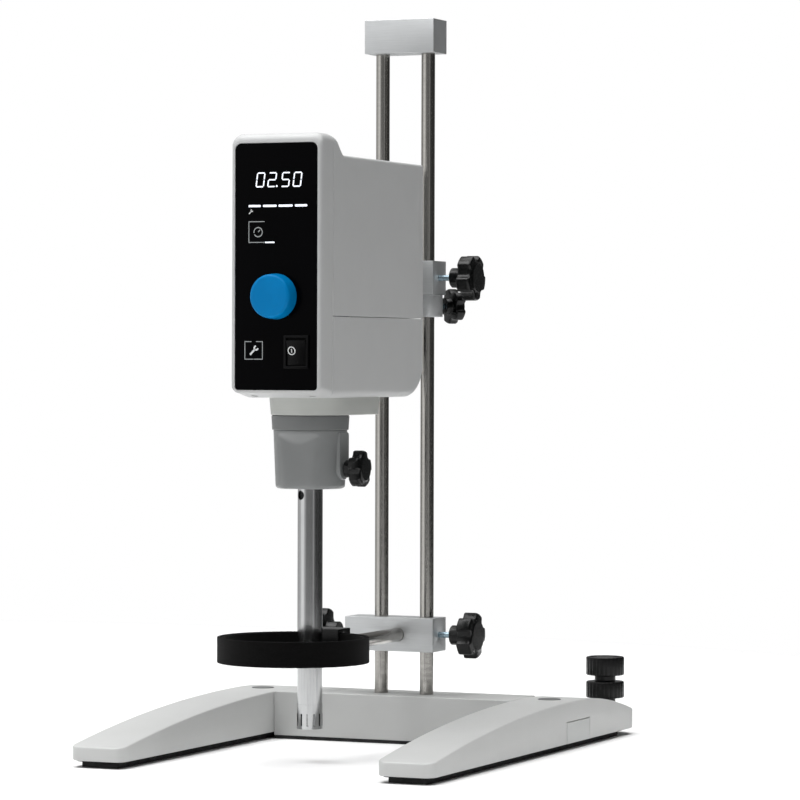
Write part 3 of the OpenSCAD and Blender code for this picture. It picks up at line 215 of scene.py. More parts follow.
def roundedRing(bottom, top, half, radii, inset, steps=9):
    # Outline of a rectangle with round corners for each row: a corner's centre plus its radius
    # times a turning direction. Bottom, top and inset have one number for each row, and radii has
    # four numbers, the same for all rows or a set for each
    turn = quarterTurn(steps)
    angle = (np.arange(4)[:, None] * np.pi / 2 + turn).ravel()
    side = np.repeat(np.array([1, -1, -1, 1]), steps)
    level = np.repeat(np.array([1, 1, -1, -1]), steps)
    radius = np.repeat(np.atleast_2d(np.array(radii, float)), steps, axis=1)
    bottom, top, inset = [np.atleast_1d(np.asarray(v, float))[:, None] for v in (bottom, top, inset)]
    own = np.maximum(radius - inset, 0.3)
    x = side * (half - inset - own) + own * np.cos(angle)
    edge = np.where(level > 0, top - inset - own, bottom + inset + own)
    return x, edge + own * np.sin(angle)


# Helpers for materials

def toLinear(hexColour):
    # An sRGB hex colour as Blender's linear one
    values = np.array([int(hexColour[at:at + 2], 16) for at in (1, 3, 5)]) / 255
    linear = np.where(values <= 0.04045, values / 12.92, ((values + 0.055) / 1.055) ** 2.4)
    return (*linear.tolist(), 1.0)


def addNode(tree, kind, values=None, links=None, **settings):
    # One node with its settings, its own values and what feeds it
    node = tree.nodes.new(kind)
    for key, value in settings.items():
        setattr(node, key, value)
    for key, value in (values or {}).items():
        node.inputs[key].default_value = value
    for key, source in (links or {}).items():
        tree.links.new(source, node.inputs[key])
    return node


def startMaterial(name, **values):
    # A named material with its shader's plain numbers, and the place that its patterns read
    material = bpy.data.materials.new(name)
    material.use_nodes = True
    tree = material.node_tree
    shader = tree.nodes["Principled BSDF"]
    for key, value in values.items():
        shader.inputs[key.replace("_", " ")].default_value = value
    place = addNode(tree, "ShaderNodeTexCoord").outputs["Object"]
    return material, tree, shader, place


def perMetre(size):
    # How many times a pattern of that size in millimetres repeats in a metre
    return 1000 / size


def mixedColour(tree, shader, factor, first, second, low=0.35, high=0.65):
    # Two close colours that a pattern moves between
    share = addNode(tree, "ShaderNodeMapRange", {"From Min": low, "From Max": high}, {"Value": factor})
    mix = addNode(tree, "ShaderNodeMixRGB", {"Color1": toLinear(first), "Color2": toLinear(second)},
                  {"Fac": share.outputs["Result"]})
    tree.links.new(mix.outputs["Color"], shader.inputs["Base Color"])
    return mix


def grained(tree, shader, grain, look, low=0.0, high=1.0):
    # A grain moves the shine by its spread either way, and lifts the surface by its depth
    shine = addNode(tree, "ShaderNodeMapRange",
                    {"From Min": low, "From Max": high, "To Min": look["shine"] - look["spread"],
                     "To Max": look["shine"] + look["spread"]}, {"Value": grain})
    tree.links.new(shine.outputs["Result"], shader.inputs["Roughness"])
    lifted(tree, shader, grain, look["grainDepth"])


def lifted(tree, shader, height, depth):
    # A bump of a real depth in millimetres
    bump = addNode(tree, "ShaderNodeBump", {"Strength": 1.0, "Distance": depth * mm}, {"Height": height})
    tree.links.new(bump.outputs["Normal"], shader.inputs["Normal"])


# What a material has where it doesn't say otherwise; sizes are in millimetres
usualMoulding = {"cloudSize": 40, "grainSize": 0.9, "grainDepth": 0.02, "shine": 0.4, "spread": 0.05,
                 "ior": 1.53, "gloss": 0.5}
usualMetal = {"cloudSize": 8, "grainDepth": 0.01, "shine": 0.4, "spread": 0.05, "metallic": 1.0}


def moulded(look):
    # Injection moulded plastic or painted casting: a faint cloud in its colour, a fine eroded grain
    # left by the mould as a bump, and a little spread in its shine
    look = {**usualMoulding, **look}
    material, tree, shader, place = startMaterial(look["name"], IOR=look["ior"], Roughness=look["shine"],
                                                  Specular_IOR_Level=look["gloss"])
    cloud = addNode(tree, "ShaderNodeTexNoise", {"Scale": perMetre(look["cloudSize"]), "Detail": 3.0},
                    {"Vector": place})
    mixedColour(tree, shader, cloud.outputs["Fac"], look["colour"], look["shade"])
    grain = addNode(tree, "ShaderNodeTexNoise", {"Scale": perMetre(look["grainSize"]), "Detail": 2.0,
                                                 "Roughness": 0.6}, {"Vector": place})
    grained(tree, shader, grain.outputs["Fac"], look)
    return material


def metal(look):
    # Bare metal: its grain is a noise stretched along the way it was drawn, ground or turned, which
    # moves its roughness and a very shallow bump, under a slow cloud in its colour
    look = {**usualMetal, **look}
    material, tree, shader, place = startMaterial(look["name"], Metallic=look["metallic"],
                                                  Roughness=look["shine"])
    stretch = addNode(tree, "ShaderNodeMapping", {"Scale": tuple(perMetre(size) for size in look["grain"])},
                      {"Vector": place})
    grain = addNode(tree, "ShaderNodeTexNoise", {"Scale": 1.0, "Detail": 3.0, "Roughness": 0.65},
                    {"Vector": stretch.outputs["Vector"]})
    cloud = addNode(tree, "ShaderNodeTexNoise", {"Scale": perMetre(look["cloudSize"]), "Detail": 2.0},
                    {"Vector": place})
    both = addNode(tree, "ShaderNodeMath", {1: 0.45}, {0: cloud.outputs["Fac"]}, operation="MULTIPLY_ADD")
    tree.links.new(grain.outputs["Fac"], both.inputs[2])
    mixedColour(tree, shader, both.outputs[0], look["colour"], look["shade"], 0.45, 1.0)
    grained(tree, shader, grain.outputs["Fac"], look, 0.3, 0.7)
    return material


# Aluminium castings with a light powder coat: nearly white, fine orange peel, soft shine
powderCoat = moulded({"name": "powderCoatedAluminium", "colour": "#C2C3C2", "shade": "#BFC0BF",
                      "cloudSize": 60, "grainSize": 1.6, "grainDepth": 0.03, "shine": 0.42,
                      "spread": 0.06, "ior": 1.5})
# Covers and plugs in ABS to match the coat, smooth from a polished mould
coverAbs = moulded({"name": "mouldedAbsCover", "colour": "#BEC0BF", "shade": "#BBBDBC",
                    "grainDepth": 0.01, "shine": 0.38, "spread": 0.04})
# Screw caps on the legs: the same ABS in a darker grey, which is painted shade standing in for the shadowed
# edge round each cap
capAbsPaintedShade = moulded({"name": "mouldedAbsCapPaintedShade", "colour": "#6A6C6C", "shade": "#666868", "cloudSize": 20,
                  "grainDepth": 0.01, "spread": 0.04})
# Rubber soles: black with carbon, dull, dusty at a coarse grain
rubberSole = moulded({"name": "mouldedRubber", "colour": "#141515", "shade": "#262727", "cloudSize": 9,
                      "grainSize": 0.8, "grainDepth": 0.06, "shine": 0.8, "spread": 0.08, "ior": 1.52,
                      "gloss": 0.35})
# The head's housing in light grey ABS from a spark eroded mould: matt, with a fine even grain
housingAbs = moulded({"name": "sparkErodedAbs", "colour": "#BABBBB", "shade": "#B8B9B9",
                      "cloudSize": 45, "grainDepth": 0.035, "shine": 0.47, "spread": 0.06})
# The panel's overlay: printed polyester film with a hard gloss coat, all but black
overlayFilm = moulded({"name": "glossPolyesterOverlay", "colour": "#010102", "shade": "#020203",
                       "cloudSize": 70, "grainSize": 9, "grainDepth": 0.004, "shine": 0.2,
                       "spread": 0.02, "ior": 1.57, "gloss": 0.03})
# Knobs in glass filled nylon: black, half matt, a little uneven from its fibres
filledNylon = moulded({"name": "glassFilledNylon", "colour": "#060707", "shade": "#0B0C0C",
                       "cloudSize": 8, "grainSize": 0.7, "shine": 0.25, "gloss": 0.24})
# Switch and inlet in black polycarbonate, smoother than the knobs
switchPlastic = moulded({"name": "mouldedPolycarbonate", "colour": "#040405", "shade": "#070708",
                         "cloudSize": 10, "grainSize": 0.6, "grainDepth": 0.008, "shine": 0.22,
                         "spread": 0.03, "ior": 1.585, "gloss": 0.08})
# The speed knob: blue ABS with a soft satin face
blueAbs = moulded({"name": "satinBlueAbs", "colour": "#007CBC", "shade": "#0076B4", "cloudSize": 20,
                   "grainSize": 0.8, "grainDepth": 0.01, "shine": 0.34, "gloss": 0.06})
# The neck under the head, a slightly warmer grey moulding
neckAbs = moulded({"name": "mouldedAbsNeck", "colour": "#B2B4B0", "shade": "#AFB1AD", "shine": 0.42})
# Coupling ring and cup: mid grey glass filled polyamide, satin
ringNylon = moulded({"name": "glassFilledNylonRing", "colour": "#6A6C6C", "shade": "#676969",
                     "cloudSize": 30})
cupNylon = moulded({"name": "glassFilledNylonCup", "colour": "#7F8181", "shade": "#7B7D7D",
                    "cloudSize": 30, "shine": 0.32})
# Inner plastics: fan, brush bridge, bushes
fanNylon = moulded({"name": "mouldedNylonFan", "colour": "#222323", "shade": "#2C2D2D", "cloudSize": 12,
                    "grainSize": 0.7, "shine": 0.5, "spread": 0.06})
bushPtfe = moulded({"name": "turnedPtfe", "colour": "#E6E4DE", "shade": "#DCDAD2", "cloudSize": 6,
                    "grainSize": 0.5, "shine": 0.45, "ior": 1.35})
boardLaminate = moulded({"name": "solderMaskedLaminate", "colour": "#1C4A2A", "shade": "#17602F",
                         "cloudSize": 3, "grainSize": 1.2, "grainDepth": 0.05, "shine": 0.3,
                         "spread": 0.06, "ior": 1.55})
# Stainless bar, centreless ground: a fine grain round the bar and a broad streaky gleam
groundBar = metal({"name": "centrelessGroundStainless", "colour": "#ABA9A5", "shade": "#9D9B97",
                   "cloudSize": 60, "grain": (14, 14, 3.2), "grainDepth": 0.002, "shine": 0.21,
                   "spread": 0.04})
# The same bar lying front to back, so its grain turns with it
groundBarAlong = metal({"name": "centrelessGroundStainlessAlong", "colour": "#ABA9A5",
                        "shade": "#9D9B97", "cloudSize": 60, "grain": (14, 3.2, 14),
                        "grainDepth": 0.002, "shine": 0.21, "spread": 0.04})
# The tool: stainless tube, polished for cleaning, with faint drawing lines along it
polishedTube = metal({"name": "polishedStainless", "colour": "#B9BABA", "shade": "#ABACAD",
                      "cloudSize": 25, "grain": (1.5, 1.5, 60), "grainDepth": 0.003, "shine": 0.13,
                      "spread": 0.03})
# Blocks sawn from extruded bar and anodised clear: satin, with faint lines along the extrusion
anodisedBlock = metal({"name": "clearAnodisedAluminium", "colour": "#C3C5C6", "shade": "#B9BBBC",
                       "cloudSize": 18, "grain": (40, 1.3, 1.1), "shine": 0.42, "metallic": 0.6})
# Studs and screws: zinc plated steel with its blue passivation, slightly mottled
zincPlate = metal({"name": "bluePassivatedZinc", "colour": "#A9BCC6", "shade": "#8EA3AE",
                   "cloudSize": 5, "grain": (1.2, 1.2, 1.2), "shine": 0.28, "spread": 0.08})
# Screws under the bezel: the same steel coloured near black, which is painted shade for the dark recesses
# under the chin
screwSteelPaintedShade = metal({"name": "darkScrewSteelPaintedShade", "colour": "#1C1D1F", "shade": "#131415", "cloudSize": 4,
                    "grain": (1.2, 1.2, 1.2), "spread": 0.06})
groundSteel = metal({"name": "groundBearingSteel", "colour": "#9A9C9E", "shade": "#86888B",
                     "grain": (6, 6, 0.8), "grainDepth": 0.008, "shine": 0.22})
dieCasting = metal({"name": "dieCastAluminium", "colour": "#A6A9AB", "shade": "#8F9295", "cloudSize": 9,
                    "grain": (1.4, 1.4, 1.4), "grainDepth": 0.05, "shine": 0.5, "spread": 0.08})
laminations = metal({"name": "varnishedLaminations", "colour": "#59606A", "shade": "#3C424A",
                     "cloudSize": 12, "grain": (30, 30, 0.7), "grainDepth": 0.12, "shine": 0.42,
                     "spread": 0.08})
copperWire = metal({"name": "enamelledCopperWinding", "colour": "#A35A32", "shade": "#7C3C1C",
                    "cloudSize": 10, "grain": (0.9, 9, 0.9), "grainDepth": 0.2, "shine": 0.3,
                    "spread": 0.06})


def printedMark(name, hexColour, shade, glow):
    # White screen print, or a lamp under the film: a flat tone with a fine dot grain in its ink
    material, tree, shader, place = startMaterial(name, Roughness=0.4, IOR=1.5)
    dots = addNode(tree, "ShaderNodeTexNoise", {"Scale": perMetre(0.6), "Detail": 1.0}, {"Vector": place})
    mix = mixedColour(tree, shader, dots.outputs["Fac"], hexColour, shade, 0.2, 0.8)
    if glow:
        tree.links.new(mix.outputs["Color"], shader.inputs["Emission Color"])
        shader.inputs["Emission Strength"].default_value = glow
    return material


whitePrint = printedMark("whiteScreenPrint", "#E6E8E8", "#D8DADA", 0.0)
greyPrint = printedMark("greyScreenPrint", "#A3A7A7", "#989C9C", 0.0)
lampLight = printedMark("litDisplayLamp", "#F4F8FF", "#E4EAF6", 0.6)


def hookLoop(look):
    # Woven tape with a brushed loop face: crossing threads as two waves, and a fuzz of fine noise that
    # roughens the surface and lifts it in tufts
    material, tree, shader, place = startMaterial("hookAndLoopWebbing", Roughness=0.95, IOR=1.5,
                                                  Sheen_Weight=0.04, Sheen_Roughness=0.5,
                                                  Specular_IOR_Level=0.08)
    fuzz = addNode(tree, "ShaderNodeTexNoise", {"Scale": perMetre(look["tuft"]), "Detail": 5.0,
                                                "Roughness": 0.7}, {"Vector": place})
    thread = addNode(tree, "ShaderNodeTexWave", {"Scale": perMetre(look["thread"]) / 20, "Distortion": 2.0,
                                                 "Detail": 2.0}, {"Vector": place}, bands_direction="Z")
    mixedColour(tree, shader, fuzz.outputs["Fac"], look["colour"], look["shade"], 0.35, 0.75)
    lift = addNode(tree, "ShaderNodeMath", {1: 0.35}, {0: thread.outputs["Fac"]}, operation="MULTIPLY_ADD")
    tree.links.new(fuzz.outputs["Fac"], lift.inputs[2])
    lifted(tree, shader, lift.outputs[0], look["depth"])
    return material


webbing = hookLoop({"colour": "#020202", "shade": "#0D0D0D", "tuft": 1.1, "thread": 1.6, "depth": 0.4})
print("materials ready")


# Solids that keep the frame's shape, under the material that each one gets
keptLooks = {
    groundBar: ["left_rod", "right_rod"],
    groundBarAlong: ["support_bar", "strap_bar"],
    polishedTube: ["tool_tube", "stator_head", "rotor"],
    groundSteel: ["tool_shaft", "motor_shaft", "motor_bearings"],
    zincPlate: ["head_stud", "collar_stud", "cup_stud", "right_clamp_stud", "left_clamp_stud",
                "levelling_screw"],
    rubberSole: ["beam_sheet", "left_leg_strip", "right_leg_strip"],
    boardLaminate: ["display_board", "power_board"],
    switchPlastic: ["encoder"],
    dieCasting: ["motor_frame"],
    laminations: ["motor_stator"],
    copperWire: ["field_coils", "armature"],
    fanNylon: ["brush_bridge", "cooling_fan"],
    bushPtfe: ["tool_bushes"],
}
for look, names in keptLooks.items():
    for name in names:
        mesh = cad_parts[name].data
        mesh.materials.clear()
        mesh.materials.append(look)


# Stand, blocks and small mouldings with rounded edges, each edge this many millimetres wide
softEdges = [
    ("left_leg", powderCoat, "stand", "painted_casting", 1.4),
    ("right_leg", powderCoat, "stand", "painted_casting", 1.4),
    ("cross_beam", powderCoat, "stand", "painted_casting", 0.9),
    # The leg plugs take the darker grey of painted shade for their shadowed edges
    ("leg_plugs", capAbsPaintedShade, "stand", "plastic_cover", 0.5),
    ("access_covers", coverAbs, "stand", "plastic_cover", 0.35),
    ("top_block", anodisedBlock, "stand", "block_aluminium", 0.5),
    ("head_block", anodisedBlock, "head", "block_aluminium", 0.5),
    ("clamp_block", anodisedBlock, "vessel_clamp", "block_aluminium", 0.5),
    ("stop_collar", anodisedBlock, "stop_collar", "block_aluminium", 0.6),
    ("power_inlet", switchPlastic, "head", "switch_black", 0.35),
    ("switch_frame", switchPlastic, "head", "switch_black", 0.35),
    ("rocker", switchPlastic, "rocker", "switch_black", 0.3),
    ("strap_cradle", filledNylon, "strap_arm", "knob_black", 0.8),
]
# The beam's ends cover the holes of the joint screws in the legs' inner walls
beamLow, beamHigh = boxOf("cross_beam")
wallReach, beamReach, coveredFrom, coveredTo = 5.0, 1.0, 10.0, 32.0
covered = {"left_leg": ((beamLow[0] - wallReach, beamLow[1], coveredFrom),
                        (beamLow[0] + beamReach, beamHigh[1], coveredTo)),
           "right_leg": ((beamHigh[0] - beamReach, beamLow[1], coveredFrom),
                         (beamHigh[0] + wallReach, beamHigh[1], coveredTo))}
for node, look, body, slot, width in softEdges:
    softened(node, look, body, width, covered.get(node))
print("stand and blocks ready")


# Head housing
bezelLow, bezelHigh = boxOf("front_bezel")
upperLow, upperHigh = boxOf("upper_shell")
panelLow, panelHigh = boxOf("front_panel")
inletLow, inletHigh = boxOf("power_inlet")
supportLow, supportHigh = boxOf("support_bar")
housing = {"wall": 3.0, "frontCorner": 9.0, "footCorner": 8.0, "crownRound": 9.0, "sideRound": 3.2,
           "footRound": 2.6, "panelCorner": 6.2, "panelFootCorner": 3.2, "panelBow": 0.7, "panelGap": 0.25,
           "chinRise": 4.4, "seamGap": 0.28, "seamEdge": 0.5, "rearCorner": 3.0, "crispBy": 10.0,
           "frontEdge": 1.3, "frontGap": 0.6, "fallStart": -1.4, "fallEnd": 26.7, "fall": 19.5,
           "rearRound": 30.0, "rearEdge": 2.0, "roundBlend": 14.0, "footBlendTop": 20.0, "rimLeast": 0.35,
           "windowLip": 0.25, "windowDeep": 3.4, "skinBack": 6.0, "screwRecess": 3.6, "recessDeep": 5.2,
           "recessX": 30.5, "recessY": 18.1, "barHole": 7.5, "inletRim": 4.1}
throughCut = 20.0  # how far a cutter reaches past a wall
headFront, seamY, headRear = bezelLow[1], upperLow[1], upperHigh[1]
headFoot, crownZ, seamZ, headHalf = boxOf("lower_shell")[0][2], bezelHigh[2], upperLow[2], upperHigh[0]
supportZ = (supportLow[2] + supportHigh[2]) / 2


def topLine(y):
    # Height of the housing along its length: level over the crown, then one smooth S down behind it
    t = (y - seamY - housing["fallStart"]) / (housing["fallEnd"] - housing["fallStart"])
    return crownZ - housing["fall"] * smoothStep(t)


def chinLine(y):
    # Height of the bezel's underside, which rises towards the front
    return headFoot + housing["chinRise"] * np.clip((seamY - 1 - y) / (seamY - 1 - headFront - 3), 0, 1)


def footLine(y):
    # Height of the shells' underside: level, then a quarter circle up to the rear
    reach = np.clip((y - (headRear - housing["rearRound"])) / housing["rearRound"], 0, 1)
    return headFoot + housing["rearRound"] * (1 - np.sqrt(np.maximum(1 - reach ** 2, 0)))


def panelOutline(gap):
    # The panel's outline: small corners at the foot, and its ends bowed by a parabola over its width
    x, z = roundedRing(panelLow[2] - gap, panelHigh[2] + gap, panelHigh[0] + gap,
                       [housing["panelCorner"]] * 2 + [housing["panelFootCorner"]] * 2, 0)
    away = z - (panelLow[2] + panelHigh[2]) / 2
    bow = housing["panelBow"] * (1 - (x / panelHigh[0]) ** 2) * away / (panelHigh[2] - panelLow[2]) * 2
    return np.stack([x[0], (z + bow)[0]], -1)


def bezelSurface():
    # Rows run round the wall's section: out along the side, over a round edge to the face, back down
    # the window, and along the inside. The round edge's reach is large above and small at the sides
    # and below, and points between the outline and the window lie on straight lines between them
    corners = [housing["frontCorner"], housing["frontCorner"], housing["footCorner"], housing["footCorner"]]

    def outline(y, inset):
        x, z = roundedRing(chinLine(np.array([y])), topLine(np.array([y])), headHalf, corners, inset)
        return np.stack([x[0], z[0]], -1)

    window = panelOutline(housing["panelGap"])
    face = outline(headFront, 0)
    inwards = window - face
    room = np.linalg.norm(inwards, axis=1)
    blend = housing["roundBlend"]
    up = np.clip((face[:, 1] - (crownZ - blend)) / blend, 0, 1)
    down = np.clip((headFoot + housing["footBlendTop"] - face[:, 1]) / blend, 0, 1)
    reach = housing["sideRound"] + (housing["crownRound"] - housing["sideRound"]) * smoothStep(up)
    reach = reach + (housing["footRound"] - housing["sideRound"]) * smoothStep(down)
    reach = np.minimum(reach, room - housing["rimLeast"])
    unit = inwards / room[:, None]

    def row(place, y):
        return np.stack([place[:, 0], np.broadcast_to(y, len(place)), place[:, 1]], -1)

    rows = []
    for turn in quarterTurn(5):
        y = seamY - housing["frontGap"] - housing["frontEdge"] * (1 - math.cos(turn))
        rows.append(row(outline(y, housing["frontEdge"] * (1 - math.sin(turn))), y))
    for y in np.linspace(seamY - 3, headFront + housing["crownRound"] + 1, 7):
        rows.append(row(outline(y, 0), y))
    for turn in quarterTurn(8):
        depth = headFront + reach * (1 - np.sin(turn))
        rows.append(row(face + unit * (reach * (1 - np.cos(turn)))[:, None], depth))
    rows.append(row(window - unit * housing["windowLip"], headFront))
    rows.append(row(window, headFront + housing["windowLip"]))
    rows.append(row(window, headFront + housing["windowDeep"]))
    for y in (headFront + housing["skinBack"], seamY - housing["frontGap"]):
        rows.append(row(outline(y, housing["wall"]), y))
    return grid(np.array(rows), loop=True)


def rodShape(radius, ends, around, origin, axis):
    # A plain rod for cutting: its two ends lie this far along the axis from the origin
    return grid(aimed(turned([radius] * 2, ends, around), origin, axis), firstCap=True, lastCap=True)


recesses = [rodShape(housing["screwRecess"], (-throughCut, housing["recessDeep"]), 32,
                     (side * housing["recessX"], headFront + housing["recessY"], headFoot + 1), (0, 0, 1))
            for side in (-1, 1)]
bezel = addPiece("bezel_moulding", [bezelSurface()], housingAbs, "head", ["front_bezel"])
carve(bezel, *recesses)


panelRows = [np.insert(panelOutline(-inset), 1, y, axis=1)
             for y, inset in ((panelHigh[1], 0), (panelLow[1] + 0.3, 0), (panelLow[1], 0.3))]
addPiece("panel_overlay", [grid(np.array(panelRows), firstCap=True, lastCap=True)], overlayFilm, "head",
         ["front_panel"])


def shellStations():
    # Places along the shell: its turned-in front edge, the fall, the long side and the rear round
    fall = np.linspace(seamY + 3, seamY + housing["fallEnd"] + 4, 22)
    turn = np.radians(np.concatenate([np.linspace(0, 66, 9), np.linspace(70, 90, 8)]))
    rear = headRear - housing["rearRound"] * (1 - np.sin(turn))
    quarter = quarterTurn(5)
    start = seamY + housing["frontGap"] + housing["frontEdge"] * (1 - np.cos(quarter))
    y = np.concatenate([start, fall, np.linspace(seamY + 60, headRear - 45, 4), rear])
    inset = np.zeros(len(y))
    inset[:5] = housing["frontEdge"] * (1 - np.sin(quarter))
    past = np.clip(y - (headRear - housing["rearEdge"]), 0, housing["rearEdge"])
    inset += housing["rearEdge"] - np.sqrt(housing["rearEdge"] ** 2 - past ** 2)
    return y, inset


def shellSurface(upper):
    # Half of a rounded outline at each place along the head, from the seam on one side, over the top or
    # under the foot, to the seam on the other. The seam's edges turn in a little, and the end is flat
    y, inset = shellStations()
    corner = np.full(len(y), housing["frontCorner"])
    crisp = smoothStep((y - seamY) / housing["crispBy"])
    top = corner + (housing["rearCorner"] - corner) * crisp
    x, z = roundedRing(footLine(y), topLine(y), headHalf, np.stack([top, top, corner, corner], 1), inset)
    half = x.shape[1] // 2
    x, z = (x[:, :half], z[:, :half]) if upper else (x[:, half:], z[:, half:])
    sign = 1 if upper else -1
    gap, edge = housing["seamGap"], housing["seamEdge"]
    ends = [(0, [(edge, gap), (0, gap + edge)]), (-1, [(0, gap + edge), (edge, gap)])]
    sides = []
    for at, steps in ends:
        side = np.sign(x[0, at])
        sides.append((np.stack([side * (headHalf - inset - cut) for cut, _ in steps], 1),
                      np.stack([np.full(len(y), seamZ + sign * rise) for _, rise in steps], 1)))
    x = np.hstack([sides[0][0], x, sides[1][0]])
    z = np.hstack([sides[0][1], z, sides[1][1]])
    return grid(np.stack([x, y[:, None] * np.ones(x.shape), z], -1), wrap=False, lastCap=True)


def boxShape(low, high):
    # A plain box for cutting
    low, high = np.array(low, float), np.array(high, float)
    ring = np.array([[0, 0], [1, 0], [1, 1], [0, 1]])
    rows = np.array([np.column_stack([ring, np.full(4, level)]) for level in (0, 1)])
    return grid(low + rows * (high - low), firstCap=True, lastCap=True)


barHole = rodShape(housing["barHole"], (-throughCut, throughCut), 48, (0, headRear, supportZ), (0, 1, 0))
inletHole = boxShape((inletLow[0] + housing["inletRim"], headRear - 9, inletLow[2] + housing["inletRim"]),
                     (inletHigh[0] - housing["inletRim"], headRear + 9, inletHigh[2] - housing["inletRim"]))
upper = thicken(addPiece("upper_housing", [shellSurface(True)], housingAbs, "head",
                         ["upper_shell"]), housing["wall"])
carve(upper, barHole)
lower = thicken(addPiece("lower_housing", [shellSurface(False)], housingAbs, "head",
                         ["lower_shell"]), housing["wall"])
carve(lower, inletHole)
print("housing ready")


# Neck, coupling ring and cup
toolLow, toolHigh = boxOf("tool_tube")
toolX, toolY, tubeR = 0.0, (toolLow[1] + toolHigh[1]) / 2, (toolHigh[0] - toolLow[0]) / 2
neckLow, neckHigh = boxOf("neck_flange")
ringLow, ringHigh = boxOf("coupling_ring")
cupLow, cupHigh = boxOf("coupling_cup")
neckShape = {"taper": 1.4, "edge": 1.0, "footFlat": 4.0}
ring = {"bore": 31.2, "foot": 37.2, "topDrop": 1.2, "topIn": 0.9, "fillets": [0.2, 0.8, 0.5, 0.3, 0.2]}
cupShape = {"footRadius": 33.7, "topRadius": 36.0, "flat": 29.0, "rimFoot": 320.5, "rimSlope": 0.8,
            "footRound": 3.4, "topRound": 0.8, "blend": 2.4, "boreTop": 297.0, "wellRadius": 9.0,
            "toolPlay": 0.06, "mouthEdge": 0.5, "ribWidth": 22.0, "ribCorner": 3.0, "studZ": 286.5,
            "ribTop": 322.0, "ribEdge": 1.2, "ribRoot": 24.0, "studHole": 3.1, "holeDeep": 8.0}


def neckSurface():
    # A stadium seen from below, drawn in by a taper as it goes down, with a small round at its foot
    radius = neckHigh[0]
    run = (neckHigh[1] - neckLow[1]) - 2 * radius
    steps = 40
    angle = np.concatenate([np.linspace(0, np.pi, steps), np.linspace(np.pi, 2 * np.pi, steps)])
    shift = np.where(np.arange(2 * steps) < steps, run, 0.0)
    quarter = quarterTurn(5)
    tall = neckHigh[2] - neckLow[2]
    depth = np.concatenate([[0], tall - neckShape["edge"] * (1 - np.sin(quarter)), [tall]])
    inset = np.concatenate([[0], neckShape["taper"] + neckShape["edge"] * (1 - np.cos(quarter)),
                            [neckShape["taper"] + neckShape["footFlat"]]])
    own = radius - inset[:, None]
    x = own * np.cos(angle)
    y = toolY + shift + own * np.sin(angle)
    z = (neckHigh[2] - depth)[:, None] * np.ones(len(angle))
    return grid(np.stack([x, y, z], -1), firstCap=True, lastCap=True)


addPiece("neck_moulding", [neckSurface()], neckAbs, "head", ["neck_flange"])

ringShape = softPath([(ring["bore"], ringLow[2]), (ring["foot"], ringLow[2]),
                      (ringHigh[0], ringHigh[2] - ring["topDrop"]),
                      (ringHigh[0] - ring["topIn"], ringHigh[2]), (ring["bore"], ringHigh[2])],
                     ring["fillets"], 5)
ringRows = turned(ringShape[:, 0], ringShape[:, 1], 128) + np.array([toolX, toolY, 0])
addPiece("coupling_ring_moulding", [grid(ringRows, loop=True)], ringNylon, "head",
         ["coupling_ring"])


def cupSurface():
    # Rows run round the wall's section. The outer radius is the cone's, cut by a flat at the front as a
    # soft smaller of the two. Under the rim the cut is no deeper than a slope times the way down, so
    # the flat runs out in an arc
    around = 144
    angle = fullTurn(around)
    toFront = np.maximum(-np.sin(angle), 1e-3)
    low, high = cupLow[2], cupHigh[2]
    quarter = quarterTurn(6)
    side = np.concatenate([np.linspace(low + 6, cupShape["rimFoot"] - 13, 6),
                           np.linspace(cupShape["rimFoot"] - 12, high - cupShape["topRound"] - 0.2, 16)])
    z = np.concatenate([low + cupShape["footRound"] * (1 - np.cos(quarter)), side,
                        high - cupShape["topRound"] * (1 - np.sin(quarter))])
    drawIn = np.concatenate([cupShape["footRound"] * (1 - np.sin(quarter)), np.zeros(len(side)),
                             cupShape["topRound"] * (1 - np.cos(quarter))])
    widening = cupShape["topRadius"] - cupShape["footRadius"]
    cone = cupShape["footRadius"] + widening * (z - low) / (high - low)
    cone = cone[:, None] * np.ones(around)
    front = np.minimum(cupShape["flat"] / toFront, 90)
    mix = np.clip(0.5 + 0.5 * (cone - front) / cupShape["blend"], 0, 1)
    outer = cone * (1 - mix) + front * mix - cupShape["blend"] * mix * (1 - mix)
    shelf = cone - np.maximum(cupShape["rimFoot"] - z, 0)[:, None] * cupShape["rimSlope"]
    mix = np.clip(0.5 + 0.5 * (shelf - outer) / cupShape["blend"], 0, 1)
    outer = np.minimum(shelf * mix + outer * (1 - mix) + cupShape["blend"] * mix * (1 - mix), cone)
    outer = outer - drawIn[:, None]
    bore = tubeR + cupShape["toolPlay"]
    mouth = cupShape["mouthEdge"]
    inner = [(cupShape["wellRadius"], high), (cupShape["wellRadius"], cupShape["boreTop"]),
             (bore, cupShape["boreTop"]), (bore, low + mouth), (bore + mouth, low)]
    radius = np.vstack([outer, *[np.full((1, around), r) for r, _ in inner]])
    height = np.concatenate([z, [h for _, h in inner]])
    return grid(turned(radius, height, around) + np.array([toolX, toolY, 0]), loop=True)


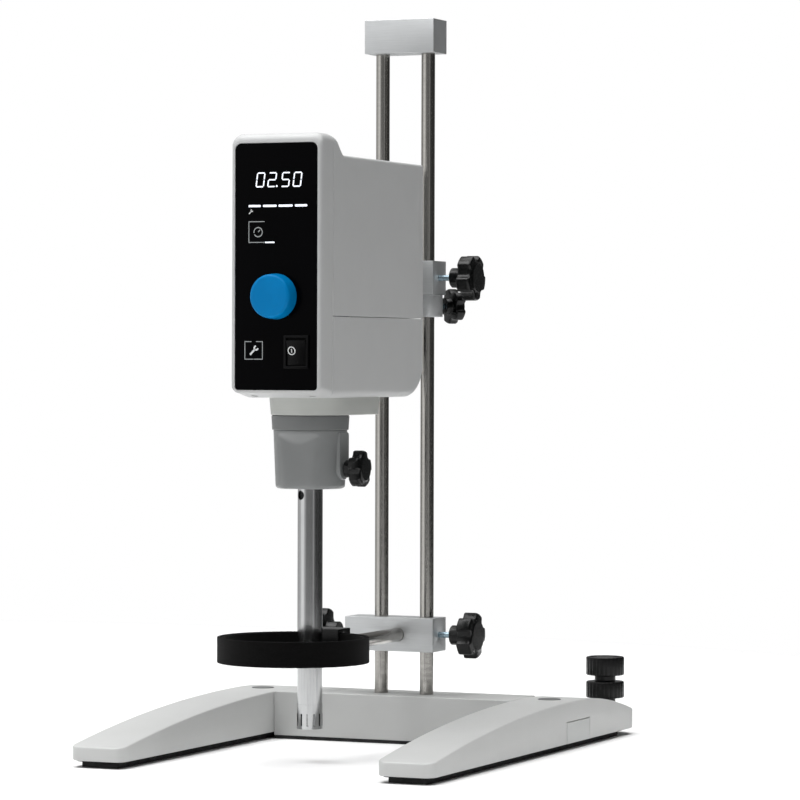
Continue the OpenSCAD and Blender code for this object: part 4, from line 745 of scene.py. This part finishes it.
def ribSurface():
    # A plate on the right side: its outline is a stadium below and a rounded rectangle above, carried
    # outwards with a round edge, then drawn in to the stud's hole
    half = cupShape["ribWidth"] / 2
    lower = np.linspace(np.pi, 2 * np.pi, 20)
    topCorner = cupShape["ribCorner"]
    right = quarterTurn(7)
    y = np.concatenate([half * np.cos(lower), half - topCorner + topCorner * np.cos(right),
                        -(half - topCorner) - topCorner * np.sin(right)])
    z = np.concatenate([cupShape["studZ"] + half * np.sin(lower),
                        cupShape["ribTop"] - topCorner + topCorner * np.sin(right),
                        cupShape["ribTop"] - topCorner + topCorner * np.cos(right)])
    outline = np.stack([y, z], -1)
    nearest = np.stack([0 * y, np.clip(z, cupShape["studZ"], cupShape["ribTop"] - half)], -1)
    inwards = nearest - outline
    inwards /= np.linalg.norm(inwards, axis=1)[:, None]
    hole = np.stack([0 * y, np.full(len(y), cupShape["studZ"])], -1)
    toHole = outline - hole
    hole = hole + toHole / np.linalg.norm(toHole, axis=1)[:, None] * cupShape["studHole"]
    edge = cupShape["ribEdge"]
    quarter = quarterTurn(6)
    face = cupHigh[0]
    rows = [(outline, cupShape["ribRoot"])]
    rows += [(outline + inwards * edge * (1 - math.cos(q)), face - edge * (1 - math.sin(q))) for q in quarter]
    rows += [(hole, face), (hole, face - cupShape["holeDeep"])]
    points = np.array([np.stack([np.full(len(y), x), toolY + place[:, 0], place[:, 1]], -1)
                       for place, x in rows])
    return grid(points, firstCap=True, lastCap=True)


addPiece("coupling_cup_moulding", [cupSurface(), ribSurface()], cupNylon, "head",
         ["coupling_cup"], 40)
print("coupling ready")


# Knobs

def notched(angle, radius, count, centreAt, notchRadius, blend, turn):
    # Radius of a disc with round notches: at each angle the smaller of the disc's radius and the near
    # side of the nearest notch circle, blended softly where they meet
    pitch = 2 * np.pi / count
    away = (angle - turn + pitch / 2) % pitch - pitch / 2
    under = notchRadius ** 2 - (centreAt * np.sin(away)) ** 2
    near = centreAt * np.cos(away) - np.sqrt(np.maximum(under, 0))
    near = np.where(under > 0, near, radius + 4 * blend)
    mix = np.clip(0.5 + 0.5 * (radius - near) / blend, 0, 1)
    return radius * (1 - mix) + near * mix - blend * mix * (1 - mix)


def knobRows(table, outline, around):
    # Each row of the table has a circle's radius, a share, an inset and a height. Its radius lies
    # between the circle, at share 0, and the notched outline, at share 1, less the inset
    base, share, inset, height = np.array(table, float).T
    radius = base[:, None] + share[:, None] * (outline - base[:, None]) - inset[:, None]
    return turned(radius, height, around)


def rimTable(neck, face, low, top, foot, end):
    # A round underside from the neck's height, then the rim up to a round face edge
    rows = [(neck, 1, low * (1 - math.sin(q)), foot + low * (1 - math.cos(q))) for q in quarterTurn(6)]
    return rows + [(face, 1, top * (1 - math.cos(q)), end - top * (1 - math.sin(q))) for q in quarterTurn(6)]


def starSurface(knob, outline):
    # A blind bore, the neck, the lobed rim and a slightly raised crown, closed at its centre
    bore, depth, neck, foot = [knob[key] for key in ("bore", "depth", "neck", "neckLength")]
    low, top = knob["edges"]
    crown, rise = knob["size"] * knob["crown"], knob["crownRise"]
    end = foot + knob["thick"]
    face = 0.35 * rise
    table = [(0, 0, 0, depth), (bore, 0, 0, depth), (bore, 0, 0, 0), (neck - 0.7, 0, 0, 0),
             (neck, 0, 0, 0.7), (neck, 0, 0, foot - 1.2), (neck + 0.4, 0, 0, foot - 0.3),
             (neck + 1.2, 0, 0, foot)]
    table += rimTable(neck, crown, low, top, foot, end)
    table += [(crown, 0.5, top * 0.5, end + face * 0.6), (crown, 0, 0, end + face),
              (crown - rise * 0.9, 0, 0, end + rise * 0.95), (crown * 0.6, 0, 0, end + rise),
              (0, 0, 0, end + rise)]
    return knobRows(table, outline, knob["around"])


starKnob = {"around": 140, "lobes": 5, "notchAt": 0.585, "notchRadius": 0.19, "blend": 1.6, "crown": 0.34,
            "edges": (1.6, 3.0), "crownRise": 1.5, "bore": 3.06}
collarTurn = math.radians(55)
largeKnob = {"size": 47.0, "thick": 15.0, "neck": 10.1, "neckLength": 13.05, "depth": 14.0}
smallKnob = {"size": 36.0, "thick": 11.0, "neck": 8.46, "depth": 10.0}
starKnobs = [
    ("head_knob", largeKnob, {"turn": 165}, (1, 0, 0)),
    ("right_clamp_knob", largeKnob, {"turn": 180}, (1, 0, 0)),
    ("left_clamp_knob", largeKnob, {"turn": 0}, (-1, 0, 0)),
    ("cup_knob", smallKnob, {"neckLength": 9.0, "turn": 194}, (1, 0, 0)),
    ("collar_knob", smallKnob, {"neckLength": 7.0, "turn": 180},
     (math.cos(collarTurn), math.sin(collarTurn), 0)),
]
for node, kind, extra, axis in starKnobs:
    knob = {**starKnob, **kind, **extra}
    low, high = boxOf(node)
    length = knob["neckLength"] + knob["thick"] + knob["crownRise"]
    start = (low + high) / 2 - np.array(axis) * length / 2
    outline = notched(fullTurn(knob["around"]), knob["size"] / 2, knob["lobes"],
                      knob["size"] * knob["notchAt"], knob["size"] * knob["notchRadius"], knob["blend"],
                      math.radians(knob["turn"]))
    addPiece(node + "_star", [grid(aimed(starSurface(knob, outline), start, axis))], filledNylon, node,
             [node])

disc = {"around": 240, "grooves": 24, "centreAt": 20.9, "grooveRadius": 1.5, "blend": 0.35, "radius": 20.0,
        "edges": (1.6, 1.8), "neck": 11.0, "bore": 4.06, "boreEdge": 0.4, "face": 15.0, "hollow": 16.2,
        "hollowDeep": 0.8, "turn": 0.1, "blindDeep": 4.0}
for node, neckLength, through in (("levelling_knob", 6.1, False), ("lock_nut", 5.0, True)):
    low, high = boxOf(node)
    tall = high[2] - low[2]
    neck, bore, edge = disc["neck"], disc["bore"], disc["boreEdge"]
    outline = notched(fullTurn(disc["around"]), disc["radius"], disc["grooves"], disc["centreAt"],
                      disc["grooveRadius"], disc["blend"], disc["turn"])
    table = [(neck - 0.6, 0, 0, 0), (neck, 0, 0, 0.6), (neck, 0, 0, neckLength - 1),
             (neck + 1, 0, 0, neckLength)]
    table += rimTable(neck, disc["face"], *disc["edges"], neckLength, tall)
    if through:
        table += [(disc["face"], 0, 0, tall), (bore + edge, 0, 0, tall), (bore, 0, 0, tall - edge),
                  (bore, 0, 0, edge), (bore + edge, 0, 0, 0)]
    else:
        floor, blind = tall - disc["hollowDeep"], tall - disc["blindDeep"]
        table += [(disc["hollow"], 0, 0, tall), (disc["hollow"] - disc["hollowDeep"], 0, 0, floor),
                  (0, 0, 0, floor)]
        table = [(0, 0, 0, blind), (bore, 0, 0, blind), (bore, 0, 0, 0)] + table
    middle = (low + high) / 2
    rows = knobRows(table, outline, disc["around"]) + np.array([middle[0], middle[1], low[2]])
    addPiece(node + "_knurled", [grid(rows, loop=through)], filledNylon, node, [node])

dialLow, dialHigh = boxOf("speed_knob")
dialMiddle = (dialLow + dialHigh) / 2
dial = {"base": 22.5, "face": 21.0, "round": 3.4, "dish": 0.35}
dialTall = dialHigh[1] - dialLow[1]
quarter = quarterTurn(9)
dialRadius = np.concatenate([[0, dial["base"] - 1.2, dial["base"] - 0.4, dial["base"]],
                             np.linspace(dial["base"] - 0.1, dial["face"] + 0.1, 6),
                             dial["face"] - dial["round"] * (1 - np.cos(quarter)), [9, 0]])
dialHeight = np.concatenate([[0, 0, 0.25, 1.0], np.linspace(2, dialTall - dial["round"] - 0.6, 6),
                             dialTall - dial["round"] * (1 - np.sin(quarter)), [dialTall - dial["dish"]] * 2])
dialRows = aimed(turned(dialRadius, dialHeight, 128), (dialMiddle[0], dialHigh[1], dialMiddle[2]), (0, -1, 0))
addPiece("speed_dial", [grid(dialRows)], blueAbs, "speed_knob", ["speed_knob"], 40)
print("knobs ready")


# Strap
strapLow, strapHigh = boxOf("strap")
strap = {"inner": 67.3, "tape": 2.9, "gap": 0.25, "round": 0.9, "innerTuft": 0.15, "outerTuft": 0.22,
         "around": 520, "waves": 14, "wavesAround": (40, 190), "wavesAcross": (-9, 10)}


def strapSurface(inner, outer, low, high, tuft, seed):
    # A tape's section carried round a circle. Its edges are round, and the skin is lifted a little in
    # tufts by a sum of sines over the turning angle and the section
    section = softPath([(inner, low), (outer, low), (outer, high), (inner, high)], strap["round"], 6)
    angle = fullTurn(strap["around"])
    random = np.random.default_rng(seed)
    waves = strap["waves"]
    along = fullTurn(len(section))
    lift = np.zeros((len(angle), len(section)))
    for turns, across, phase, share in zip(random.integers(*strap["wavesAround"], waves),
                                           random.integers(*strap["wavesAcross"], waves),
                                           random.uniform(0, 6.28, waves), random.uniform(0.2, 1, waves)):
        lift += share * np.sin(turns * angle[:, None] + across * along[None, :] + phase)
    lift *= tuft / 3
    middle = np.array([(inner + outer) / 2, (low + high) / 2])
    outwards = section - middle
    outwards /= np.linalg.norm(outwards, axis=1)[:, None]
    radius = section[:, 0] + lift * outwards[:, 0]
    z = section[:, 1] + lift * outwards[:, 1]
    centre = (strapLow + strapHigh) / 2
    points = np.stack([centre[0] + radius * np.cos(angle)[:, None],
                       centre[1] + radius * np.sin(angle)[:, None], z], -1)
    return grid(points, loop=True)


innerTape = (strap["inner"] + 0.1, strap["inner"] + strap["tape"])
outerTape = (innerTape[1] + strap["gap"], strapHigh[0] - 0.1)
tapes = [strapSurface(*innerTape, strapLow[2] + 0.9, strapHigh[2] - 0.9, strap["innerTuft"], 5),
         strapSurface(*outerTape, strapLow[2] + 0.2, strapHigh[2] - 0.2, strap["outerTuft"], 9)]
addPiece("strap_webbing", tapes, webbing, "strap_arm", ["strap"], 50)


# Screws with a hexagon socket; lengths of the socket and edge are shares of the head's size
socketScrew = {"around": 48, "socket": 0.5, "socketDepth": 0.55, "edge": 0.16}


def screwSurface(origin, axis, headRadius, headHeight, stemRadius, stemLength):
    # A turned head and stem; inside the head the rows change from a circle to a hexagon, whose radius
    # is its flat distance over the cosine of the angle to the nearest flat
    around = socketScrew["around"]
    angle = fullTurn(around)
    sixth = np.pi / 3
    hexagon = headRadius * socketScrew["socket"] / np.cos((angle + sixth / 2) % sixth - sixth / 2)
    edge = headRadius * socketScrew["edge"]
    deep = headHeight * (1 - socketScrew["socketDepth"])
    circles = [(0, -stemLength), (stemRadius, -stemLength), (stemRadius, 0), (headRadius, 0),
               (headRadius, headHeight - edge), (headRadius - 0.3 * edge, headHeight - 0.3 * edge),
               (headRadius - edge, headHeight)]
    radius = np.vstack([np.full((1, around), r) for r, _ in circles] + [hexagon[None], hexagon[None],
                       np.zeros((1, around))])
    height = [h for _, h in circles] + [headHeight, deep, deep]
    return grid(aimed(turned(radius, height, around), origin, axis))


def socketScrews(screw, rows):
    # Screws of one size, each with its place, its direction, its head's height and its stem's length
    return [screwSurface(place, axis, screw["head"], tall, screw["stem"], long)
            for place, axis, tall, long in rows]


headScrew = {"stem": 1.5, "head": 3.0, "boltCircle": 14.0, "neckOffset": 31.0, "flatHead": 2.0,
             "tallHead": 3.0, "rearLong": 9.0, "chinDeep": 6.1, "chinLong": 7.0, "neckDeep": 4.0,
             "neckLong": 20.0, "motorFoot": 12.0}
motorTop, frameFoot = boxOf("brush_bridge")[1][2], boxOf("motor_frame")[0][2]
headRows, chinRows = [], []
for turn in np.radians([45, 135, 225, 315]):
    place = (headScrew["boltCircle"] * math.cos(turn), headRear,
             supportZ + headScrew["boltCircle"] * math.sin(turn))
    headRows.append((place, (0, 1, 0), headScrew["flatHead"], headScrew["rearLong"]))
for side in (-1, 1):
    chinRows.append(((side * housing["recessX"], headFront + housing["recessY"],
                      headFoot + headScrew["chinDeep"]), (0, 0, -1), headScrew["flatHead"],
                     headScrew["chinLong"]))
    offset = toolY + side * headScrew["neckOffset"]
    headRows.append(((toolX, offset, neckLow[2] + headScrew["neckDeep"]), (0, 0, -1),
                     headScrew["tallHead"], headScrew["neckLong"]))
    headRows.append(((toolX, offset, motorTop), (0, 0, 1), headScrew["tallHead"],
                     motorTop - frameFoot - headScrew["motorFoot"]))
addPiece("head_socket_screws", socketScrews(headScrew, headRows), zincPlate, "head",
         ["head_screws"], 40)
# The screws in the chin's recesses take near black steel as painted shade for their recesses
addPiece("chin_socket_screws", socketScrews(headScrew, chinRows), screwSteelPaintedShade, "head",
         sharpAngle=40)

rodLow, rodHigh = boxOf("right_rod")
legInner = boxOf("right_leg")[0][0]
rodX, rodY, rodR = (rodLow[0] + rodHigh[0]) / 2, (rodLow[1] + rodHigh[1]) / 2, (rodHigh[0] - rodLow[0]) / 2
standScrew = {"stem": 3.0, "head": 5.0, "tall": 5.0, "footDeep": 2.0, "footLong": 16.0, "jointY": 17.0,
              "jointZ": 19.7, "jointLong": 28.0, "wall": 4.0}
setScrew = {"stem": 2.48, "head": 2.5, "tall": 3.0, "z": 722.0, "long": 8.25}
standScrews = []
for side in (-1, 1):
    standScrews += socketScrews(standScrew, [((side * rodX, rodY, rodLow[2] - standScrew["footDeep"]),
                                              (0, 0, -1), standScrew["tall"], standScrew["footLong"])])
    stemLong = setScrew["long"] - setScrew["tall"]
    standScrews += socketScrews(setScrew, [((side * rodX, rodY + rodR + stemLong, setScrew["z"]),
                                            (0, 1, 0), setScrew["tall"], stemLong)])
    for across in (-1, 1):
        place = (side * (legInner + standScrew["wall"]), rodY + across * standScrew["jointY"],
                 standScrew["jointZ"])
        standScrews += socketScrews(standScrew, [(place, (side, 0, 0), standScrew["tall"],
                                                  standScrew["jointLong"])])
addPiece("stand_socket_screws", standScrews, zincPlate, "stand", ["stand_screws"], 40)
print("strap and screws ready")


# Marks on the panel
panelFace = panelLow[1]
marks = {"thick": 0.08, "line": 0.75, "digitWide": 9.0, "digitTall": 14.4, "digitLean": 0.13, "segment": 1.3,
         "digitZ": 563.9, "digitX": (-16.6, -4.3, 10.0, 22.4), "pointX": 0.6, "pointRadius": 1.0,
         "lampZ": 539.0, "lampTall": 2.1,
         "lamps": ((-29.2, -16.3), (-13.9, 0.5), (2.6, 17.4), (19.7, 32.7)), "keyLamp": (-11.8, -1.6),
         "keyLampZ": (503.5, 504.8), "gauge": (-19.0, 514.0), "gaugeRadius": 4.4,
         "gaugeFrame": ((-12.2, 524.0), (-28.8, 524.0), (-28.8, 504.2), (-12.4, 504.2)),
         "key": (-32.8, -14.2, 392.6, 409.4), "smallSpanner": ((-26.9, 533.4), 4.6),
         "largeSpanner": ((-23.4, 400.8), 9.4)}


def tile(outline):
    # A flat outline in x and z, given its thickness towards the viewer
    outline = np.asarray(outline, float)
    rows = np.array([np.column_stack([outline[:, 0], np.full(len(outline), panelFace - depth),
                                      outline[:, 1]]) for depth in (-0.02, marks["thick"])])
    return grid(rows, firstCap=True, lastCap=True)


def onPanel(z):
    # Depth of the panel's face, the same at every height
    return np.full(len(z), panelFace)


def ribbon(path, width, closed=False, face=onPanel):
    # A line of even width on a face: each point moves half a width to either side, across the mean of
    # the directions before and after it
    path = np.asarray(path, float)
    ahead = np.roll(path, -1, 0) - path
    if not closed:
        ahead[-1] = ahead[-2]
    ahead /= np.linalg.norm(ahead, axis=1)[:, None]
    behind = np.roll(ahead, 1, 0)
    if not closed:
        behind[0] = ahead[0]
    mean = ahead + behind
    mean /= np.maximum(np.linalg.norm(mean, axis=1), 1e-6)[:, None]
    across = np.stack([-mean[:, 1], mean[:, 0]], -1)
    stretch = 1 / np.maximum((across * np.stack([-ahead[:, 1], ahead[:, 0]], -1)).sum(1), 0.4)
    across *= (stretch * width / 2)[:, None]
    corners = [(path + across, 0.02), (path - across, 0.02), (path - across, -marks["thick"]),
               (path + across, -marks["thick"])]
    rows = np.stack([np.stack([place[:, 0], face(place[:, 1]) + depth, place[:, 1]], -1)
                     for place, depth in corners], 1)
    return grid(rows, loop=closed, firstCap=not closed, lastCap=not closed)


def arcPath(centre, radius, start, end, steps):
    # Points round part of a circle, from one angle in degrees to another
    angle = np.radians(np.linspace(start, end, steps))
    return np.stack([centre[0] + radius * np.cos(angle), centre[1] + radius * np.sin(angle)], -1)


def digitTiles(segments, centreX):
    # Lit bars of one digit: a six-sided bar at each of seven places, then the whole leans to the right
    bar = marks["segment"] / 2
    half, tall = marks["digitWide"] / 2 - bar, marks["digitTall"] / 2 - bar
    level = np.array([[-half + 0.25, 0], [-half + bar, bar], [half - bar, bar], [half - 0.25, 0],
                      [half - bar, -bar], [-half + bar, -bar]])
    upright = np.array([[0, 0.25], [bar, bar], [bar, tall - bar], [0, tall - 0.25], [-bar, tall - bar],
                        [-bar, bar]])
    places = {"top": level + [0, tall], "middle": level, "bottom": level - [0, tall],
              "upperLeft": upright - [half, 0], "upperRight": upright + [half, 0],
              "lowerLeft": upright * [1, -1] - [half, 0], "lowerRight": upright * [1, -1] + [half, 0]}
    tiles = []
    for segment in segments:
        outline = places[segment]
        lean = outline[:, 1] * marks["digitLean"]
        tiles.append(tile(np.column_stack([outline[:, 0] + lean + centreX, outline[:, 1] + marks["digitZ"]])))
    return tiles


sides = ["upperLeft", "upperRight", "lowerLeft", "lowerRight"]
digits = [sides + ["top", "bottom"], ["top", "upperRight", "middle", "lowerLeft", "bottom"],
          ["top", "upperLeft", "middle", "lowerRight", "bottom"], sides + ["top", "bottom"]]
lit = [part for segments, x in zip(digits, marks["digitX"]) for part in digitTiles(segments, x)]
pointZ = marks["digitZ"] - marks["digitTall"] / 2 + marks["pointRadius"]
lit.append(tile(arcPath((marks["pointX"], pointZ), marks["pointRadius"], 0, 337.5, 16)))
barEnds = (marks["lampZ"] - marks["lampTall"] / 2, marks["lampZ"] + marks["lampTall"] / 2)
bars = [(ends, barEnds, 0.8, 5) for ends in marks["lamps"]] + [(marks["keyLamp"], marks["keyLampZ"], 0.6, 4)]
for (left, right), (low, high), fillet, steps in bars:
    lit.append(tile(softPath([(left, low), (right, low), (right, high), (left, high)], fillet, steps)))
addPiece("lit_digits_and_lamps", lit, lampLight, "head", sharpAngle=30)


def spanner(centre, size):
    # A small open-ended spanner: a slanted bar and a jaw that is most of a ring
    x, z = centre
    jaw = arcPath((x + 0.26 * size, z + 0.26 * size), 0.2 * size, 95, 355, 18)
    return [ribbon([(x - 0.42 * size, z - 0.42 * size), (x + 0.12 * size, z + 0.12 * size)], 0.2 * size),
            ribbon(jaw, 0.16 * size)]


keyLeft, keyRight, keyLow, keyHigh = marks["key"]
gaugeX, gaugeZ = marks["gauge"]
printed = [ribbon(marks["gaugeFrame"], marks["line"]),
           ribbon(arcPath((gaugeX, gaugeZ), marks["gaugeRadius"], -150, 190, 40), 0.9),
           ribbon([(gaugeX, gaugeZ), (gaugeX + 2.1, gaugeZ + 2.2)], 0.8)]
keyMiddle = (keyLeft + keyRight) / 2
for side, edge in ((-1, keyLeft), (1, keyRight)):
    printed.append(ribbon([(keyMiddle + side * 2.4, keyHigh), (edge, keyHigh), (edge, keyLow),
                           (keyMiddle + side * 0.4, keyLow)], marks["line"]))
addPiece("printed_marks", printed, greyPrint, "head", sharpAngle=30)
tools = spanner(*marks["smallSpanner"]) + spanner(*marks["largeSpanner"])
addPiece("printed_spanners", tools, whitePrint, "head", sharpAngle=30)

# The power mark follows the rocker's two slanted faces, from its foot over its ridge to its top
rockerPoints = np.zeros(len(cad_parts["rocker"].data.vertices) * 3)
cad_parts["rocker"].data.vertices.foreach_get("co", rockerPoints)
rockerPoints = rockerPoints.reshape(-1, 3) / mm
rockerLow, rockerHigh = boxOf("rocker")
rockerMiddle = (rockerLow + rockerHigh) / 2
powerMark = {"x": 17.0, "rise": 2.0, "radius": 3.6, "line": 0.95, "barTall": 1.7, "ridge": 3.0}


def onRocker(z):
    # Depth of the rocker's front at each height, by straight lines between its foremost points
    up = rockerPoints[:, 2] - rockerMiddle[2]
    bands = [up < -powerMark["ridge"], abs(up) < powerMark["ridge"], up > powerMark["ridge"]]
    front = [rockerPoints[band][rockerPoints[band][:, 1].argmin()] for band in bands]
    return np.interp(z, [place[2] for place in front], [place[1] for place in front])


powerZ = rockerMiddle[2] + powerMark["rise"]
power = [ribbon(arcPath((powerMark["x"], powerZ), powerMark["radius"], 0, 352.5, 48), powerMark["line"], True,
                onRocker),
         ribbon([(powerMark["x"], powerZ - powerMark["barTall"]), (powerMark["x"], powerZ),
                 (powerMark["x"], powerZ + powerMark["barTall"])], powerMark["line"], face=onRocker)]
addPiece("power_mark", power, whitePrint, "rocker", sharpAngle=30)
print("panel marks ready")


# Studio
studio = {"lights": [("overhead_softbox", (-0.35, -0.35, 1.5), (0, -0.1, 0.5), 0.9, 0.9, 8.0)],
          "room": [(-180, 0.3), (-90, 0.3), (-20, 0.2), (20, 0.1), (140, 0.1), (180, 0.3)],
          "cards": [(-180, 0.7), (-162, 0.75), (-146, 1.25), (-122, 1.3), (-112, 0.8), (-100, 0.28),
                    (-58, 0.24), (-46, 0.24), (-42, 0.5), (-36, 0.5), (-30, 0.15), (-15, 0.07), (45, 0.05),
                    (75, 0.12), (110, 0.3), (150, 0.55), (180, 0.7)],
          "floorRadius": 2.2, "floorPlace": (-0.8, -0.7, -0.0002), "cardRadius": 1.6, "cardTall": 2.2,
          "diffuserLow": 0.76, "diffuserFull": 0.88, "overhead": 3.3}


def compassRamp(tree, direction, levels):
    # Brightness by compass angle: the angle of a direction runs along a ramp of grey levels
    parts = addNode(tree, "ShaderNodeSeparateXYZ", None, {0: direction})
    compass = addNode(tree, "ShaderNodeMath", None, {0: parts.outputs["Y"], 1: parts.outputs["X"]},
                      operation="ARCTAN2")
    share = addNode(tree, "ShaderNodeMapRange", {"From Min": -math.pi, "From Max": math.pi},
                    {"Value": compass.outputs[0]})
    ramp = addNode(tree, "ShaderNodeValToRGB", None, {"Fac": share.outputs["Result"]})
    stops = ramp.color_ramp.elements
    for at, (degrees, level) in enumerate(levels):
        stop = stops[at] if at < 2 else stops.new(1.0)
        stop.position = (degrees + 180) / 360
        stop.color = (level, level, level, 1)
    return ramp.outputs["Color"], parts.outputs["Z"]


def addStage(name, rows):
    # A surface of the studio that only glossy rays see
    stage = addSurface(name, *grid(rows))
    stage.visible_camera = stage.visible_diffuse = stage.visible_transmission = stage.visible_shadow = False
    return stage


def makeStudio():
    # Pale floor, an overhead softbox, a dim room under one wide diffuser, and a ring of grey and white
    # cards round the object that only its gloss sees
    bpy.ops.mesh.primitive_circle_add(vertices=96, radius=studio["floorRadius"], fill_type="NGON",
                                      location=studio["floorPlace"])
    floor = bpy.context.object
    floor.name = "studio_floor"
    material, tree, shader, place = startMaterial("matPaintedFloor", Roughness=0.9, IOR=1.45,
                                                  Specular_IOR_Level=0.0)
    cloud = addNode(tree, "ShaderNodeTexNoise", {"Scale": perMetre(300)}, {"Vector": place})
    mixedColour(tree, shader, cloud.outputs["Fac"], "#F9F9F9", "#F6F6F6")
    floor.data.materials.append(material)

    cards = addStage("reflector_cards", turned([studio["cardRadius"] / mm] * 2, [0, studio["cardTall"] / mm]))
    material = bpy.data.materials.new("greyAndWhiteCards")
    material.use_nodes = True
    tree = material.node_tree
    place = addNode(tree, "ShaderNodeTexCoord").outputs["Object"]
    glow = addNode(tree, "ShaderNodeEmission", None, {"Color": compassRamp(tree, place, studio["cards"])[0]})
    tree.links.new(glow.outputs[0], tree.nodes["Material Output"].inputs["Surface"])
    cards.data.materials.append(material)

    for name, place, target, wide, tall, power in studio["lights"]:
        data = bpy.data.lights.new(name, "AREA")
        data.shape = "RECTANGLE"
        data.size, data.size_y, data.energy = wide, tall, power
        light = addObject(name, data)
        light.location = place
        light.visible_camera = False
        away = np.array(place) - np.array(target)
        light.rotation_euler = (math.acos(away[2] / np.linalg.norm(away)), 0,
                                math.atan2(away[1], away[0]) + math.pi / 2)

    world = bpy.data.worlds.new("softStudio")
    bpy.context.scene.world = world
    world.use_nodes = True
    tree = world.node_tree
    background = tree.nodes["Background"]
    background.inputs["Color"].default_value = (1, 1, 1, 1)
    direction = addNode(tree, "ShaderNodeTexCoord").outputs["Generated"]
    walls, upwards = compassRamp(tree, direction, studio["room"])
    height = addNode(tree, "ShaderNodeMapRange", {"From Min": studio["diffuserLow"],
                                                  "From Max": studio["diffuserFull"]},
                     {"Value": upwards}, interpolation_type="SMOOTHSTEP")
    above = studio["overhead"]
    glow = addNode(tree, "ShaderNodeMixRGB", {"Color2": (above, above, above, 1)},
                   {"Fac": height.outputs["Result"], "Color1": walls})
    room = addNode(tree, "ShaderNodeBackground", None, {"Color": glow.outputs["Color"]})
    path = addNode(tree, "ShaderNodeLightPath")
    mix = addNode(tree, "ShaderNodeMixShader", None, {0: path.outputs["Is Camera Ray"], 1: room.outputs[0],
                                                      2: background.outputs[0]})
    tree.links.new(mix.outputs[0], tree.nodes["World Output"].inputs["Surface"])


camera = {"place": (1543.2, -3459.5, 389.5), "turn": 23.569, "down": 0.567, "roll": 0.164, "lens": 169.13,
          "sensor": 36.0}


def makeCamera():
    # Looks level towards the rods from the right of the front; its axes come from the turn and the tilt
    turn, down, roll = [math.radians(camera[key]) for key in ("turn", "down", "roll")]
    ahead = np.array([-math.sin(turn) * math.cos(down), math.cos(turn) * math.cos(down), -math.sin(down)])
    right = np.array([math.cos(turn), math.sin(turn), 0])
    up = np.cross(right, ahead)
    right, up = (math.cos(roll) * right + math.sin(roll) * up, -math.sin(roll) * right + math.cos(roll) * up)
    data = bpy.data.cameras.new("viewer")
    data.lens = camera["lens"]
    data.sensor_width = camera["sensor"]
    viewer = addObject("viewer", data)
    axes = np.stack([right, up, -ahead], 1)
    place = Matrix.Translation([v * mm for v in camera["place"]])
    viewer.matrix_world = place @ Matrix(axes.tolist()).to_4x4()
    bpy.context.scene.camera = viewer


makeStudio()
makeCamera()
bpy.context.scene.view_settings.view_transform = "Standard"
print("studio ready")
